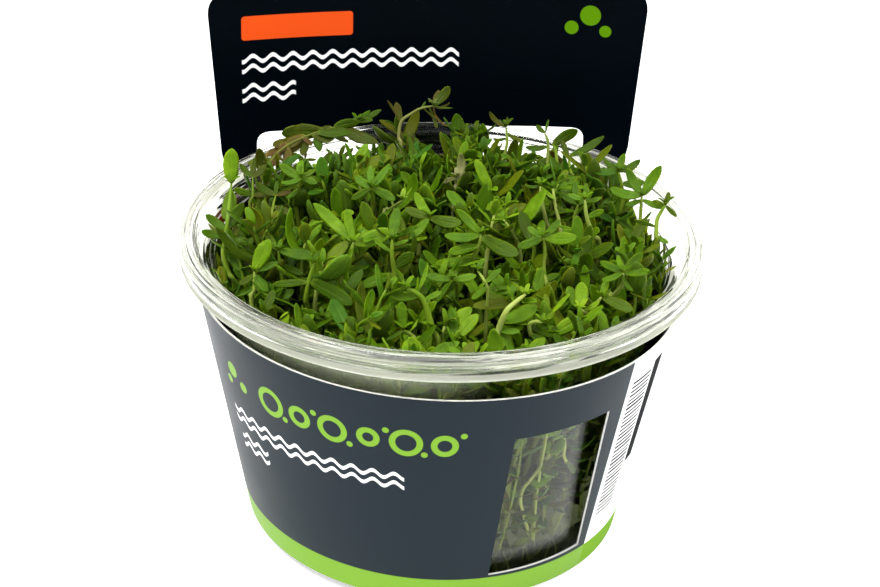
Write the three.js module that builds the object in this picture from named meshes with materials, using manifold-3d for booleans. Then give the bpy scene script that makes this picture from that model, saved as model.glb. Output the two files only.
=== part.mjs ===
// Rotala shoots growing on gel in a clear culture cup, inside a printed card sleeve whose back stands up as a header.
// Millimetres, +Z up. The origin is on the cup's axis at its underside. -Y is the front and the header is at +Y.
import * as THREE from 'three';
import { mergeVertices } from 'three/addons/utils/BufferGeometryUtils.js';
import Module from 'manifold-3d';

const wasm = await Module();
wasm.setup();

// Driving dimensions
const GAP = 0.3; // clearance between pieces that touch

const CUP_HEIGHT = 62;
const CUP_FOOT_RADIUS = 36.3; // outside, at the underside
const CUP_TAPER = 0.148; // growth in radius per millimetre of height
const CUP_SHOULDER = 56.4; // height at which the wall steps out to its mouth
const MOUTH_RADIUS = 47.8; // outside of the wall, right under the rim
const CUP_WALL = 0.8;
const CUP_FLOOR = 1.2;
const RIM_RADIUS = 50.5;
const RIM_SKIRT = 4.6; // how far the rim's outer edge hangs down
const RIM_THICKNESS = 0.8;
const RIM_LAND_RADIUS = 48.3; // the raised outer land of the rim, where a lid would grip
const CUP_SEGMENTS = 36;

const GEL_TOP = 11;

const CARD = 0.5; // thickness of the sleeve's card
const SLEEVE_RADIUS = 37.6; // outside, level with the cup's underside
const SLEEVE_TAPER = 0.184; // wider than the cup's, so the card stands off the wall towards its top
const SLEEVE_FOOT = 1.5;
const SLEEVE_TOP = 51.6; // at the front
const SLEEVE_TILT = 0.021; // the sleeve sits a little crooked: lower towards +X
const PANEL_BEND_RADIUS = 175; // gentle bow of the back panel and the header
const PANEL_LEAVES_CUP = 30; // height at which the back panel stops following the cup
const PANEL_PASSES_RIM = 57.2; // height at which the back panel clears the rim's skirt
const FOLD_WIDTH = 9; // width of the round folds between the back panel and the sides
const HEADER_TOP = 91.4;
const HEADER_TILT = 0.011; // the header stands slightly higher on its right
const HEADER_HALF_WIDTH = 45.8; // at its top
const HEADER_RIM_HALF_WIDTH = 43.5; // level with the foot of the rim
const HEADER_FOOT_HALF_WIDTH = 39; // where its legs meet the sleeve
const HEADER_LEAN = 6; // degrees back from upright
const HEADER_CORNER = 4;
const CUTOUT_OUTER = 35; // half-distance between the legs
const CUTOUT_SHIFT = -1; // both cut-outs and the tongue lie left of the middle
const CUTOUT_INNER = 19; // where the cut-out's top edge turns down to the tongue
const CUTOUT_TOP = 60.9;
const CUTOUT_CORNER = 2.6;
const TONGUE_HALF_WIDTH = 6.6;
const TONGUE_WAIST = 53;
const LEG_FOOT = 50; // the header's outline starts below the sleeve's top edge
const LEG_NEAREST = 39; // the header's legs lie behind this plane

const WINDOW_AZIMUTH = 26.8; // degrees from the front towards +X
const WINDOW_HALF_WIDTH = 10.3;
const WINDOW_FOOT = 7.3;
const WINDOW_TOP = 41.5;

const SHOOT_RINGS = [
  { count: 3, radius: 6.2, turn: 30 },
  { count: 9, radius: 16.9, turn: 10 },
  { count: 15, radius: 27.7, turn: 4 },
  { count: 21, radius: 38.6, turn: 0 },
];
const SHOOT_SPLAY = 0.82; // distance from the axis at the gel, as a share of that at the tips
const CANOPY_HEIGHT = 65.2; // mean height of the shoot tips
const CANOPY_RISE = 2.4; // extra height of the tips at the back
const CANOPY_ROUGHNESS = 2.6;
const STEM_RADIUS = 0.75;
const NOTCH_RADIUS = 1.15; // how near the stem the gaps between two leaves come
const LEAF_LENGTH = 5.5;
const LEAF_HALF_WIDTH = 1.75;
const LEAF_DROOP = 0.03; // how quickly a leaf bends down along its length, per millimetre
// Shoots of the outer ring that stand above the rest: position in the ring, height of the tip, tilt of its leaves
const TALL_SHOOTS = { 5: [75.2, 38], 10: [74.6, 68], 0: [70.2, 52], 3: [70, 24] };

const cardDark = new THREE.MeshStandardMaterial({ color: 0x1b222a, roughness: 0.45, metalness: 0 });
const clearPlastic = new THREE.MeshStandardMaterial({
  color: 0xeef3f1, roughness: 0.08, metalness: 0, transparent: true, opacity: 0.3,
});
const gelMatter = new THREE.MeshStandardMaterial({
  color: 0xc9cfb4, roughness: 0.2, metalness: 0, transparent: true, opacity: 0.7,
});
const leafGreen = new THREE.MeshStandardMaterial({ color: 0x5f9428, roughness: 0.5, metalness: 0 });

const radians = THREE.MathUtils.degToRad;
const lerp = THREE.MathUtils.lerp;
const smoothstep = THREE.MathUtils.smoothstep;

// A repeatable number from 0 to 1
function scatter(seed) {
  const wave = Math.sin(seed * 127.1 + 11.7) * 43758.5453;
  return wave - Math.floor(wave);
}

// Joins two neighbouring rings of a skin. Where one ring has several times the points of the other, each point of
// the smaller ring takes the nearer half of each run on either side of it.
function joinRings(faces, low, lowCount, high, highCount) {
  const few = Math.min(lowCount, highCount);
  const many = Math.max(lowCount, highCount);
  const run = many / few;
  const spread = highCount > lowCount;
  const face = (a, b, c) => faces.push(a, b, c);
  if (few === 1) {
    for (let i = 0; i < many; i++) {
      const j = (i + 1) % many;
      if (spread) face(low, high + j, high + i);
      else face(low + i, low + j, high);
    }
    return;
  }
  for (let i = 0; i < few; i++) {
    const j = (i + 1) % few;
    for (let k = 0; k < run; k++) {
      const m = i * run + k;
      const n = (m + 1) % many;
      const near = k < run / 2 ? i : j;
      if (spread) face(low + near, high + n, high + m);
      else face(low + m, low + n, high + near);
    }
    const turn = (i * run + Math.ceil(run / 2)) % many;
    if (spread) face(low + i, low + j, high + turn);
    else face(low + turn, high + j, high + i);
  }
}

// Skins rings of points into one closed surface. The rings run anticlockwise seen from above, and upwards on the
// outside. A ring of one point is a pole. With closed true the last ring joins the first, as on a tube wall.
function skin(rings, closed = false) {
  const positions = [];
  const starts = rings.map((ring) => {
    const start = positions.length / 3;
    ring.forEach((point) => positions.push(point.x, point.y, point.z));
    return start;
  });
  const faces = [];
  const spans = closed ? rings.length : rings.length - 1;
  for (let k = 0; k < spans; k++) {
    const next = (k + 1) % rings.length;
    joinRings(faces, starts[k], rings[k].length, starts[next], rings[next].length);
  }
  const geometry = new THREE.BufferGeometry();
  geometry.setAttribute('position', new THREE.Float32BufferAttribute(positions, 3));
  geometry.setIndex(faces);
  return geometry;
}

function toSolid(geometry) {
  const bare = geometry.clone();
  bare.deleteAttribute('normal');
  bare.deleteAttribute('uv');
  const merged = mergeVertices(bare, 1e-4);
  const corners = Array.from(merged.index.array);
  const triangles = [];
  for (let i = 0; i < corners.length; i += 3) {
    const [a, b, c] = corners.slice(i, i + 3);
    if (a !== b && b !== c && c !== a) triangles.push(a, b, c);
  }
  return new wasm.Manifold(new wasm.Mesh({
    numProp: 3,
    vertProperties: new Float32Array(merged.attributes.position.array),
    triVerts: new Uint32Array(triangles),
  }));
}

function toMesh(name, solid, material) {
  const { vertProperties, triVerts } = solid.getMesh();
  const geometry = new THREE.BufferGeometry();
  geometry.setAttribute('position', new THREE.Float32BufferAttribute(vertProperties, 3));
  geometry.setIndex(new THREE.Uint32BufferAttribute(triVerts, 1));
  geometry.computeVertexNormals();
  const mesh = new THREE.Mesh(geometry, material);
  mesh.name = name;
  return mesh;
}

// Turns a profile of [radius, height] points about the cup's axis
function turned(profile, segments) {
  const points = profile.map(([radius, height]) => new THREE.Vector2(radius, height));
  return new THREE.LatheGeometry(points, segments).rotateX(Math.PI / 2);
}

// Extrudes an outline drawn in the XZ plane from the plane y = far towards the front
function extrudedFrom(shape, far, depth) {
  const geometry = new THREE.ExtrudeGeometry(shape, { depth, bevelEnabled: false, curveSegments: 5 });
  return geometry.rotateX(Math.PI / 2).translate(0, far, 0);
}

function outline(points) {
  return new THREE.Shape(points.map(([x, z]) => new THREE.Vector2(x, z)));
}

const cupOuter = (z) => CUP_FOOT_RADIUS + CUP_TAPER * z;
const cupInner = (z) => cupOuter(z) - CUP_WALL;

function cup() {
  const skirtFoot = CUP_HEIGHT - RIM_SKIRT;
  const underRim = CUP_HEIGHT - 2;
  const step = CUP_HEIGHT - 1.1;
  const profile = [
    [0, 0],
    [CUP_FOOT_RADIUS, 0],
    [cupOuter(CUP_SHOULDER), CUP_SHOULDER],
    [MOUTH_RADIUS - 0.6, CUP_SHOULDER + 0.9],
    [MOUTH_RADIUS, underRim],
    [RIM_RADIUS - RIM_THICKNESS, underRim],
    [RIM_RADIUS - RIM_THICKNESS, skirtFoot],
    [RIM_RADIUS, skirtFoot],
    [RIM_RADIUS, CUP_HEIGHT - 0.5],
    [RIM_RADIUS - 0.5, CUP_HEIGHT],
    [RIM_LAND_RADIUS, CUP_HEIGHT],
    [RIM_LAND_RADIUS - 0.3, step],
    [MOUTH_RADIUS - 0.5, step],
    [MOUTH_RADIUS - CUP_WALL, step - 0.6],
    [MOUTH_RADIUS - 0.6 - CUP_WALL, CUP_SHOULDER + 0.9 + CUP_WALL],
    [cupInner(CUP_SHOULDER), CUP_SHOULDER + CUP_WALL],
    [cupInner(CUP_FLOOR), CUP_FLOOR],
    [0, CUP_FLOOR],
  ];
  return toMesh('cup', toSolid(turned(profile, CUP_SEGMENTS)), clearPlastic);
}

function gel() {
  const foot = CUP_FLOOR + GAP;
  const profile = [
    [0, foot],
    [cupInner(foot) - GAP, foot],
    [cupInner(GEL_TOP) - GAP, GEL_TOP],
    [0, GEL_TOP],
  ];
  return toMesh('gel', toSolid(turned(profile, CUP_SEGMENTS)), gelMatter);
}

const sleeveRadius = (z) => SLEEVE_RADIUS + SLEEVE_TAPER * z;

// Distance from the axis to the back of the card, on the centre line
function panelDistance(z) {
  const start = sleeveRadius(PANEL_LEAVES_CUP);
  const clear = RIM_RADIUS + CARD + GAP + 0.1;
  if (z <= PANEL_LEAVES_CUP) return sleeveRadius(z);
  if (z >= PANEL_PASSES_RIM) return clear + (z - PANEL_PASSES_RIM) * Math.tan(radians(HEADER_LEAN));
  return lerp(start, clear, (z - PANEL_LEAVES_CUP) / (PANEL_PASSES_RIM - PANEL_LEAVES_CUP));
}

// Half-width of the back panel between its rounded folds
function panelHalfWidth(z) {
  const hugging = 0.8 * sleeveRadius(z);
  const flare = smoothstep(z, 46, 58);
  return lerp(hugging, HEADER_HALF_WIDTH + 1.5, flare);
}

function softMinimum(a, b, width) {
  const share = Math.max(width - Math.abs(a - b), 0) / width;
  return Math.min(a, b) - share * share * width * 0.25;
}

// Distance from the axis to the outside of the card, at an angle from the back
function cardDistance(angle, z) {
  const radius = sleeveRadius(z);
  const fromBack = Math.abs(angle);
  const halfWidth = panelHalfWidth(z);
  const cornerDepth = panelDistance(z) - halfWidth ** 2 / (2 * PANEL_BEND_RADIUS);
  const corner = Math.hypot(halfWidth, cornerDepth);
  const sideNormal = Math.atan2(halfWidth, cornerDepth) + Math.acos(Math.min(1, radius / corner));
  const side = fromBack < sideNormal ? radius / Math.cos(sideNormal - fromBack) : radius;
  if (fromBack > radians(80)) return lerp(radius, side, smoothstep(z, 10, 46));
  const bow = Math.max(Math.sin(fromBack) ** 2 / PANEL_BEND_RADIUS, 1e-9);
  const panel = (Math.sqrt(Math.cos(fromBack) ** 2 + 2 * panelDistance(z) * bow) - Math.cos(fromBack)) / bow;
  const fold = lerp(FOLD_WIDTH, 2, smoothstep(z, 50, PANEL_PASSES_RIM));
  return Math.max(radius, lerp(radius, softMinimum(panel, side, fold), smoothstep(z, 10, 46)));
}

// Angles from the back, in degrees, closest together where the card folds round
const HALF_TURN = [0, 7, 14, 21, 28, 34, 38, 41, 44, 47, 50, 55, 62, 71, 80, 89, 97, 105, 113, 121, 129, 137, 145, 153,
  161, 169, 177];
const CARD_ANGLES = [...HALF_TURN, ...HALF_TURN.slice(1).reverse().map((angle) => -angle)].map(radians);

// The sleeve's section at one height, drawn in from its outside by the given depth
function cardRing(z, inset) {
  const outer = CARD_ANGLES.map((angle) => {
    const distance = cardDistance(angle, z);
    return new THREE.Vector3(-distance * Math.sin(angle), distance * Math.cos(angle), z);
  });
  const samples = outer.length;
  return outer.map((point, i) => {
    const ahead = outer[(i + 1) % samples];
    const behind = outer[(i + samples - 1) % samples];
    const along = new THREE.Vector3().subVectors(ahead, behind).normalize();
    return new THREE.Vector3(point.x - along.y * inset, point.y + along.x * inset, z);
  });
}

function headerOutline() {
  const rimFoot = CUP_HEIGHT - RIM_SKIRT;
  const shape = new THREE.Shape();
  const outer = [CUTOUT_SHIFT - CUTOUT_OUTER, CUTOUT_SHIFT + CUTOUT_OUTER];
  const inner = [CUTOUT_SHIFT - CUTOUT_INNER, CUTOUT_SHIFT + CUTOUT_INNER];
  const tongue = [CUTOUT_SHIFT - TONGUE_HALF_WIDTH, CUTOUT_SHIFT + TONGUE_HALF_WIDTH];
  const innerTop = CUTOUT_TOP - 0.3;
  shape.moveTo(-HEADER_FOOT_HALF_WIDTH, LEG_FOOT);
  shape.lineTo(outer[0], LEG_FOOT);
  shape.lineTo(outer[0], CUTOUT_TOP - CUTOUT_CORNER);
  shape.quadraticCurveTo(outer[0], CUTOUT_TOP, outer[0] + CUTOUT_CORNER, CUTOUT_TOP);
  shape.lineTo(inner[0], innerTop);
  shape.quadraticCurveTo(tongue[0] - 4, innerTop - 0.3, tongue[0], TONGUE_WAIST);
  shape.lineTo(tongue[0], LEG_FOOT);
  shape.lineTo(tongue[1], LEG_FOOT);
  shape.lineTo(tongue[1], TONGUE_WAIST);
  shape.quadraticCurveTo(tongue[1] + 4, innerTop - 0.3, inner[1], innerTop);
  shape.lineTo(outer[1] - CUTOUT_CORNER, CUTOUT_TOP);
  shape.quadraticCurveTo(outer[1], CUTOUT_TOP, outer[1], CUTOUT_TOP - CUTOUT_CORNER);
  shape.lineTo(outer[1], LEG_FOOT);
  shape.lineTo(HEADER_FOOT_HALF_WIDTH, LEG_FOOT);
  shape.quadraticCurveTo(HEADER_RIM_HALF_WIDTH - 1, LEG_FOOT + 2.5, HEADER_RIM_HALF_WIDTH, rimFoot);
  shape.lineTo(HEADER_HALF_WIDTH, HEADER_TOP - HEADER_CORNER);
  shape.quadraticCurveTo(HEADER_HALF_WIDTH, HEADER_TOP, HEADER_HALF_WIDTH - HEADER_CORNER, HEADER_TOP);
  shape.lineTo(-HEADER_HALF_WIDTH + HEADER_CORNER, HEADER_TOP);
  shape.quadraticCurveTo(-HEADER_HALF_WIDTH, HEADER_TOP, -HEADER_HALF_WIDTH, HEADER_TOP - HEADER_CORNER);
  shape.lineTo(-HEADER_RIM_HALF_WIDTH, rimFoot);
  shape.quadraticCurveTo(-HEADER_RIM_HALF_WIDTH + 1, LEG_FOOT + 2.5, -HEADER_FOOT_HALF_WIDTH, LEG_FOOT);
  return shape;
}

function sleeve() {
  const levels = [SLEEVE_FOOT - 1.5, 30, 44, 52, PANEL_PASSES_RIM, HEADER_TOP + 2];
  const outside = levels.map((z) => cardRing(z, 0));
  const inside = levels.map((z) => cardRing(z, CARD)).reverse();
  const wall = toSolid(skin([...outside, ...inside], true));

  const far = 70;
  const edge = (height, x) => [x, height - SLEEVE_TILT * x];
  const band = outline([edge(SLEEVE_FOOT, -far), edge(SLEEVE_FOOT, far), edge(SLEEVE_TOP, far), edge(SLEEVE_TOP, -far)]);
  const bandRoom = toSolid(extrudedFrom(band, far, 2 * far));
  const tilted = new THREE.Matrix4().makeShear(0, HEADER_TILT, 0, 0, 0, 0);
  const header = extrudedFrom(headerOutline(), far, far - LEG_NEAREST).applyMatrix4(tilted);
  const headerRoom = toSolid(header);

  const opening = outline([
    [-WINDOW_HALF_WIDTH, WINDOW_FOOT],
    [WINDOW_HALF_WIDTH, WINDOW_FOOT],
    [WINDOW_HALF_WIDTH, WINDOW_TOP],
    [-WINDOW_HALF_WIDTH, WINDOW_TOP],
  ]);
  const windowRoom = toSolid(extrudedFrom(opening, 0, far).rotateZ(radians(WINDOW_AZIMUTH)));
  const card = wall.intersect(bandRoom.add(headerRoom)).subtract(windowRoom);
  return toMesh('sleeve', card, cardDark);
}

// The outline of four leaves in two crossed pairs round a stem, starting at the notch before the first leaf
function whorl(centre, { turn, length, tilt, upperTilt, upperLength }) {
  const ring = [];
  for (let leaf = 0; leaf < 4; leaf++) {
    const upper = leaf % 2 === 1;
    const reach = upper ? upperLength : length;
    const slope = radians(upper ? upperTilt : tilt);
    const heading = turn + (leaf * Math.PI) / 2;
    const place = (along, across) => {
      const flat = along * Math.cos(slope);
      const lift = along * Math.sin(slope) - LEAF_DROOP * along * along;
      return new THREE.Vector3(
        centre.x + flat * Math.cos(heading) - across * Math.sin(heading),
        centre.y + flat * Math.sin(heading) + across * Math.cos(heading),
        centre.z + lift,
      );
    };
    const notch = heading - Math.PI / 4;
    const besideX = centre.x + NOTCH_RADIUS * Math.cos(notch);
    const besideY = centre.y + NOTCH_RADIUS * Math.sin(notch);
    ring.push(new THREE.Vector3(besideX, besideY, centre.z));
    ring.push(place(0.58 * reach, -LEAF_HALF_WIDTH));
    ring.push(place(reach, -0.4 * LEAF_HALF_WIDTH));
    ring.push(place(reach, 0.4 * LEAF_HALF_WIDTH));
    ring.push(place(0.58 * reach, LEAF_HALF_WIDTH));
  }
  return ring;
}

// The square section of a stem, its corners in line with the notches of a whorl at the same turn
function stemSection(centre, turn, lift) {
  const ring = [];
  for (let corner = 0; corner < 4; corner++) {
    const angle = turn + (corner - 0.5) * (Math.PI / 2);
    const x = centre.x + STEM_RADIUS * Math.cos(angle);
    const y = centre.y + STEM_RADIUS * Math.sin(angle);
    ring.push(new THREE.Vector3(x, y, centre.z + lift));
  }
  return ring;
}

function shoot(index, top, topTilt, hasLowLeaves) {
  const foot = GEL_TOP + GAP;
  // the stem's course: in towards the axis at its foot, with a slight bend of its own
  const along = (z) => {
    const share = (z - foot) / (CANOPY_HEIGHT - foot);
    const spread = lerp(SHOOT_SPLAY, 1, Math.min(share, 1.1));
    const bend = 0.3 * Math.sin(Math.PI * share * 1.5);
    const x = top.x * spread + bend * Math.cos(index * 2.4);
    const y = top.y * spread + bend * Math.sin(index * 2.4);
    return new THREE.Vector3(x, y, z);
  };
  const turn = scatter(index) * Math.PI;
  const crown = top.z - 2.6;
  const tiers = [
    { z: crown - 5.2 - 1.6 * scatter(index + 50), turn: turn + 0.6, tilt: 14, upperTilt: 22,
      length: LEAF_LENGTH - 0.1, upperLength: LEAF_LENGTH - 0.3 },
    { z: crown, turn, tilt: topTilt, upperTilt: topTilt + 12, length: LEAF_LENGTH, upperLength: 0.85 * LEAF_LENGTH },
  ];
  if (hasLowLeaves) {
    tiers.unshift({ z: 24 + 14 * scatter(index + 90), turn: turn + 0.1, tilt: 24, upperTilt: 40,
      length: LEAF_LENGTH - 0.9, upperLength: LEAF_LENGTH - 1.2 });
  }
  const rings = [[along(foot)], stemSection(along(foot), tiers[0].turn, 0)];
  for (const tier of tiers) {
    const centre = along(tier.z);
    rings.push(stemSection(centre, tier.turn, -0.8), whorl(centre, tier), stemSection(centre, tier.turn, 0.5));
  }
  const tip = along(crown);
  rings.push([tip.setZ(crown + 1.6)]);
  return toMesh(`shoot_${String(index).padStart(2, '0')}`, toSolid(skin(rings)), leafGreen);
}

function shoots() {
  const meshes = [];
  for (const ring of SHOOT_RINGS) {
    for (let i = 0; i < ring.count; i++) {
      const index = meshes.length + 1;
      const angle = radians(ring.turn) + (2 * Math.PI * i) / ring.count;
      const x = ring.radius * Math.cos(angle);
      const y = ring.radius * Math.sin(angle);
      const rough = (scatter(index + 20) - 0.5) * 2 * CANOPY_ROUGHNESS;
      const outermost = ring === SHOOT_RINGS.at(-1);
      const tall = outermost ? TALL_SHOOTS[i] : undefined;
      const height = tall ? tall[0] : CANOPY_HEIGHT + CANOPY_RISE * (y / 40) + rough;
      const tilt = tall ? tall[1] : 26 + 18 * scatter(index + 70);
      meshes.push(shoot(index, new THREE.Vector3(x, y, height), tilt, outermost));
    }
  }
  return meshes;
}

const group = new THREE.Group();
group.add(cup(), gel(), sleeve(), ...shoots());

export default group;
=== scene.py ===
"""Rotala in a culture cup: the clear cup, its gel, the printed card sleeve and the leafy shoots.

Lengths are written in millimetres and turned into metres as each mesh is made. +Z is up, -Y is the front.
"""

import math
import random
from collections import namedtuple

import bmesh
import bpy
import numpy as np
from mathutils import Matrix, Vector


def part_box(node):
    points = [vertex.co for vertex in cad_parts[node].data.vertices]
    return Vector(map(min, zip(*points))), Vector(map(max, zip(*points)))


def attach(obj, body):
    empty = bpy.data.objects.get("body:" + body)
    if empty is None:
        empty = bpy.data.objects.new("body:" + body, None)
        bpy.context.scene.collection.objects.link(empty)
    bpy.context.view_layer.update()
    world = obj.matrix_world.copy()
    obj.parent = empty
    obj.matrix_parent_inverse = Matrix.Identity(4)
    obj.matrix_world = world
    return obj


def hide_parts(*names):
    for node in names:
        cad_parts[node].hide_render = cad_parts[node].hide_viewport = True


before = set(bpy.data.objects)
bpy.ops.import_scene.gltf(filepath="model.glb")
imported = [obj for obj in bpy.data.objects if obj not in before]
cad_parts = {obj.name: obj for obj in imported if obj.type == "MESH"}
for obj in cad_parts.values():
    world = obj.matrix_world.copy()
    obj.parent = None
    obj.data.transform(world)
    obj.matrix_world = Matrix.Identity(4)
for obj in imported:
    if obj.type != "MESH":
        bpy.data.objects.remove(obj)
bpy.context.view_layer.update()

MM = 0.001

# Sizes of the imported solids
GAP = 0.3
CUP_HEIGHT = 62.0
CUP_FOOT_RADIUS = 36.3
CUP_TAPER = 0.148
CUP_SHOULDER = 56.4
MOUTH_RADIUS = 47.8
CUP_WALL = 0.8
CUP_FLOOR = 1.2
RIM_RADIUS = 50.5
RIM_SKIRT = 4.6
RIM_LAND_RADIUS = 48.3
GEL_TOP = 11.0
CARD = 0.5
SLEEVE_RADIUS = 37.6
SLEEVE_TAPER = 0.184
SLEEVE_FOOT = 1.5
SLEEVE_TOP = 51.6
SLEEVE_TILT = 0.021
PANEL_BEND_RADIUS = 175.0
PANEL_LEAVES_CUP = 30.0
PANEL_PASSES_RIM = 57.2
FOLD_WIDTH = 9.0
HEADER_TOP = 91.4
HEADER_TILT = 0.011
HEADER_HALF_WIDTH = 45.8
HEADER_RIM_HALF_WIDTH = 43.5
HEADER_FOOT_HALF_WIDTH = 39.0
HEADER_LEAN = 6.0
HEADER_CORNER = 4.0
CUTOUT_OUTER = 35.0
CUTOUT_INNER = 19.0
CUTOUT_SHIFT = -1.0
CUTOUT_TOP = 60.9
CUTOUT_CORNER = 2.6
TONGUE_HALF_WIDTH = 6.6
TONGUE_WAIST = 53.0
LEG_FOOT = 50.0
LEG_NEAREST = 39.0
WINDOW_AZIMUTH = 26.8
WINDOW_HALF_WIDTH = 10.3
WINDOW_FOOT = 7.3
WINDOW_TOP = 41.5
SHOOT_SPLAY = 0.82

# Looks of the clear plastic, and how far the leaves may reach from the cup's axis over its rim
WALL_IOR = 1.22
RIM_IOR = 1.30
# Between these depths towards the back (mm), the rim's painted highlight share and ring relief fade out and its
# roughness rises.
BACK_FADE = (37.0, 44.0)
SEEDED_OVERHANG = 46.6
POSED_OVERHANG = 49.2
FRONT_REACH = 44.8
OUTER_RING = 34


# ---------------------------------------------------------------- small tools


def lerp(a, b, share):
    return a + (b - a) * share


def smoothstep(value, low, high):
    share = min(max((value - low) / (high - low), 0.0), 1.0)
    return share * share * (3 - 2 * share)


def deselect():
    if bpy.context.object and bpy.context.object.mode != "OBJECT":
        bpy.ops.object.mode_set(mode="OBJECT")
    bpy.ops.object.select_all(action="DESELECT")


def make_active(piece):
    deselect()
    bpy.context.view_layer.objects.active = piece
    piece.select_set(True)


def link(thing):
    bpy.context.scene.collection.objects.link(thing)
    return thing


def edit_all():
    """Goes into edit mode with everything selected."""
    bpy.ops.object.mode_set(mode="EDIT")
    bpy.ops.mesh.select_all(action="SELECT")


def end_edit():
    """Turns every face outwards and leaves edit mode."""
    bpy.ops.mesh.select_all(action="SELECT")
    bpy.ops.mesh.normals_make_consistent(inside=False)
    bpy.ops.object.mode_set(mode="OBJECT")


def mesh_piece(name, vertices, edges=(), faces=()):
    """An object at the origin from points in millimetres."""
    mesh = bpy.data.meshes.new(name)
    mesh.from_pydata([Vector(v) * MM for v in vertices], edges, faces)
    piece = link(bpy.data.objects.new(name, mesh))
    make_active(piece)
    return piece


def apply_modifier(piece, kind, **settings):
    make_active(piece)
    modifier = piece.modifiers.new(kind.title(), kind)
    for key, value in settings.items():
        setattr(modifier, key, value)
    bpy.ops.object.modifier_apply(modifier=modifier.name)


def smooth(piece, degrees):
    make_active(piece)
    bpy.ops.object.shade_smooth_by_angle(angle=math.radians(degrees))


def belongs(piece, slot, *nodes):
    """The piece rides on the body and stands for these solids. Its slot is not used."""
    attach(piece, "root")
    if nodes:
        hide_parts(*nodes)


def cup_outer(z):
    return CUP_FOOT_RADIUS + CUP_TAPER * z


def cup_inner(z):
    return cup_outer(z) - CUP_WALL


# ---------------------------------------------------------------- shader tools


def fill(tree, node, inputs):
    """Gives a node its inputs, each one a value or a socket to join."""
    for key, value in inputs.items():
        if isinstance(value, bpy.types.NodeSocket):
            tree.links.new(value, node.inputs[key])
        else:
            node.inputs[key].default_value = value
    return node


def add_node(tree, kind, inputs=None, **settings):
    node = tree.nodes.new(kind)
    for key, value in settings.items():
        setattr(node, key, value)
    return fill(tree, node, inputs or {})


def new_material(name):
    """A material, its node tree and its main shader."""
    material = bpy.data.materials.new(name)
    material.use_nodes = True
    tree = material.node_tree
    return material, tree, tree.nodes["Principled BSDF"]


def calc(tree, operation, *values):
    """One step of arithmetic on numbers or sockets."""
    return add_node(tree, "ShaderNodeMath", dict(enumerate(values)), operation=operation).outputs[0]


def plus(tree, first, second):
    return calc(tree, "ADD", first, second)


def minus(tree, first, second):
    return calc(tree, "SUBTRACT", first, second)


def times(tree, product, *others):
    for value in others:
        product = calc(tree, "MULTIPLY", product, value)
    return product


def hypotenuse(tree, first, second):
    return calc(tree, "SQRT", plus(tree, times(tree, first, first), times(tree, second, second)))


def remap(tree, value, low, high, at_low=0.0, at_high=1.0):
    """A number that goes from at_low to at_high as value goes from low to high, and no further."""
    inputs = {0: value, 1: low, 2: high, 3: at_low, 4: at_high}
    return add_node(tree, "ShaderNodeMapRange", inputs).outputs[0]


def between(tree, value, low, high, soft):
    """1 where value lies between low and high, with soft edges."""
    rise = remap(tree, value, low, plus(tree, low, soft))
    fall = remap(tree, value, minus(tree, high, soft), high, 1.0, 0.0)
    return times(tree, rise, fall)


def mix_colour(tree, share, first, second):
    node = add_node(tree, "ShaderNodeMix", data_type="RGBA")
    pair = [value if isinstance(value, bpy.types.NodeSocket) else (*value, 1) for value in (first, second)]
    return fill(tree, node, {0: share, 6: pair[0], 7: pair[1]}).outputs[2]


def colour_ramp(tree, value, stops):
    node = add_node(tree, "ShaderNodeValToRGB", {0: value})
    ramp = node.color_ramp
    while len(ramp.elements) < len(stops):
        ramp.elements.new(0.5)
    for element, (place, colour) in zip(ramp.elements, stops):
        element.position = place
        element.color = (*colour, 1)
    return node.outputs[0]


def noise(tree, place, scale, detail):
    inputs = {"Vector": place, "Scale": scale, "Detail": detail}
    return add_node(tree, "ShaderNodeTexNoise", inputs).outputs["Fac"]


def bump(tree, strength, distance, height):
    """The normals of a relief, whose distance is in metres."""
    inputs = {"Strength": strength, "Distance": distance, "Height": height}
    return add_node(tree, "ShaderNodeBump", inputs).outputs[0]


def split_up(tree, vector):
    """X, Y and Z of a vector."""
    return tuple(add_node(tree, "ShaderNodeSeparateXYZ", {0: vector}).outputs)


def object_place(tree):
    """The point on the piece, in metres, as one vector and as X, Y and Z in millimetres."""
    place = add_node(tree, "ShaderNodeTexCoord").outputs["Object"]
    scaled = add_node(tree, "ShaderNodeVectorMath", {0: place, 3: 1 / MM}, operation="SCALE").outputs[0]
    return place, *split_up(tree, scaled)


def new_group(name, scale, *results):
    """An empty shader group that is given a place and a scale, and puts out these numbers."""
    group = bpy.data.node_groups.new(name, "ShaderNodeTree")
    group.interface.new_socket("Place", in_out="INPUT", socket_type="NodeSocketVector")
    group.interface.new_socket("Scale", in_out="INPUT", socket_type="NodeSocketFloat").default_value = scale
    for label in results:
        group.interface.new_socket(label, in_out="OUTPUT", socket_type="NodeSocketFloat")
    given = group.nodes.new("NodeGroupInput").outputs
    return group, given["Place"], given["Scale"], group.nodes.new("NodeGroupOutput")


def use_group(tree, group, inputs):
    return add_node(tree, "ShaderNodeGroup", inputs, node_tree=group).outputs


def mix_in_scatter(tree, shader, share, kind, colour):
    """Mixes a share of a scattering shader of this kind and colour into the clear plastic. Both uses paint
    light: a painted reflection on the wall and painted highlight lines on the rim.
    """
    scatter_shader = add_node(tree, kind, {"Color": (*colour, 1)})
    both = add_node(tree, "ShaderNodeMixShader", {0: share, 1: shader.outputs[0], 2: scatter_shader.outputs[0]})
    fill(tree, tree.nodes["Material Output"], {"Surface": both.outputs[0]})


def paper_fibre():
    """Fine fibres and faint cloudiness, for print, for the card's back and for its cut edges."""
    group, place, scale, result = new_group("paper fibre", 900.0, "Height", "Cloud")
    fill(group, result, {"Height": noise(group, place, scale, 4.0), "Cloud": noise(group, place, 60.0, 2.0)})
    return group


# ---------------------------------------------------------------- card sleeve

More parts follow.
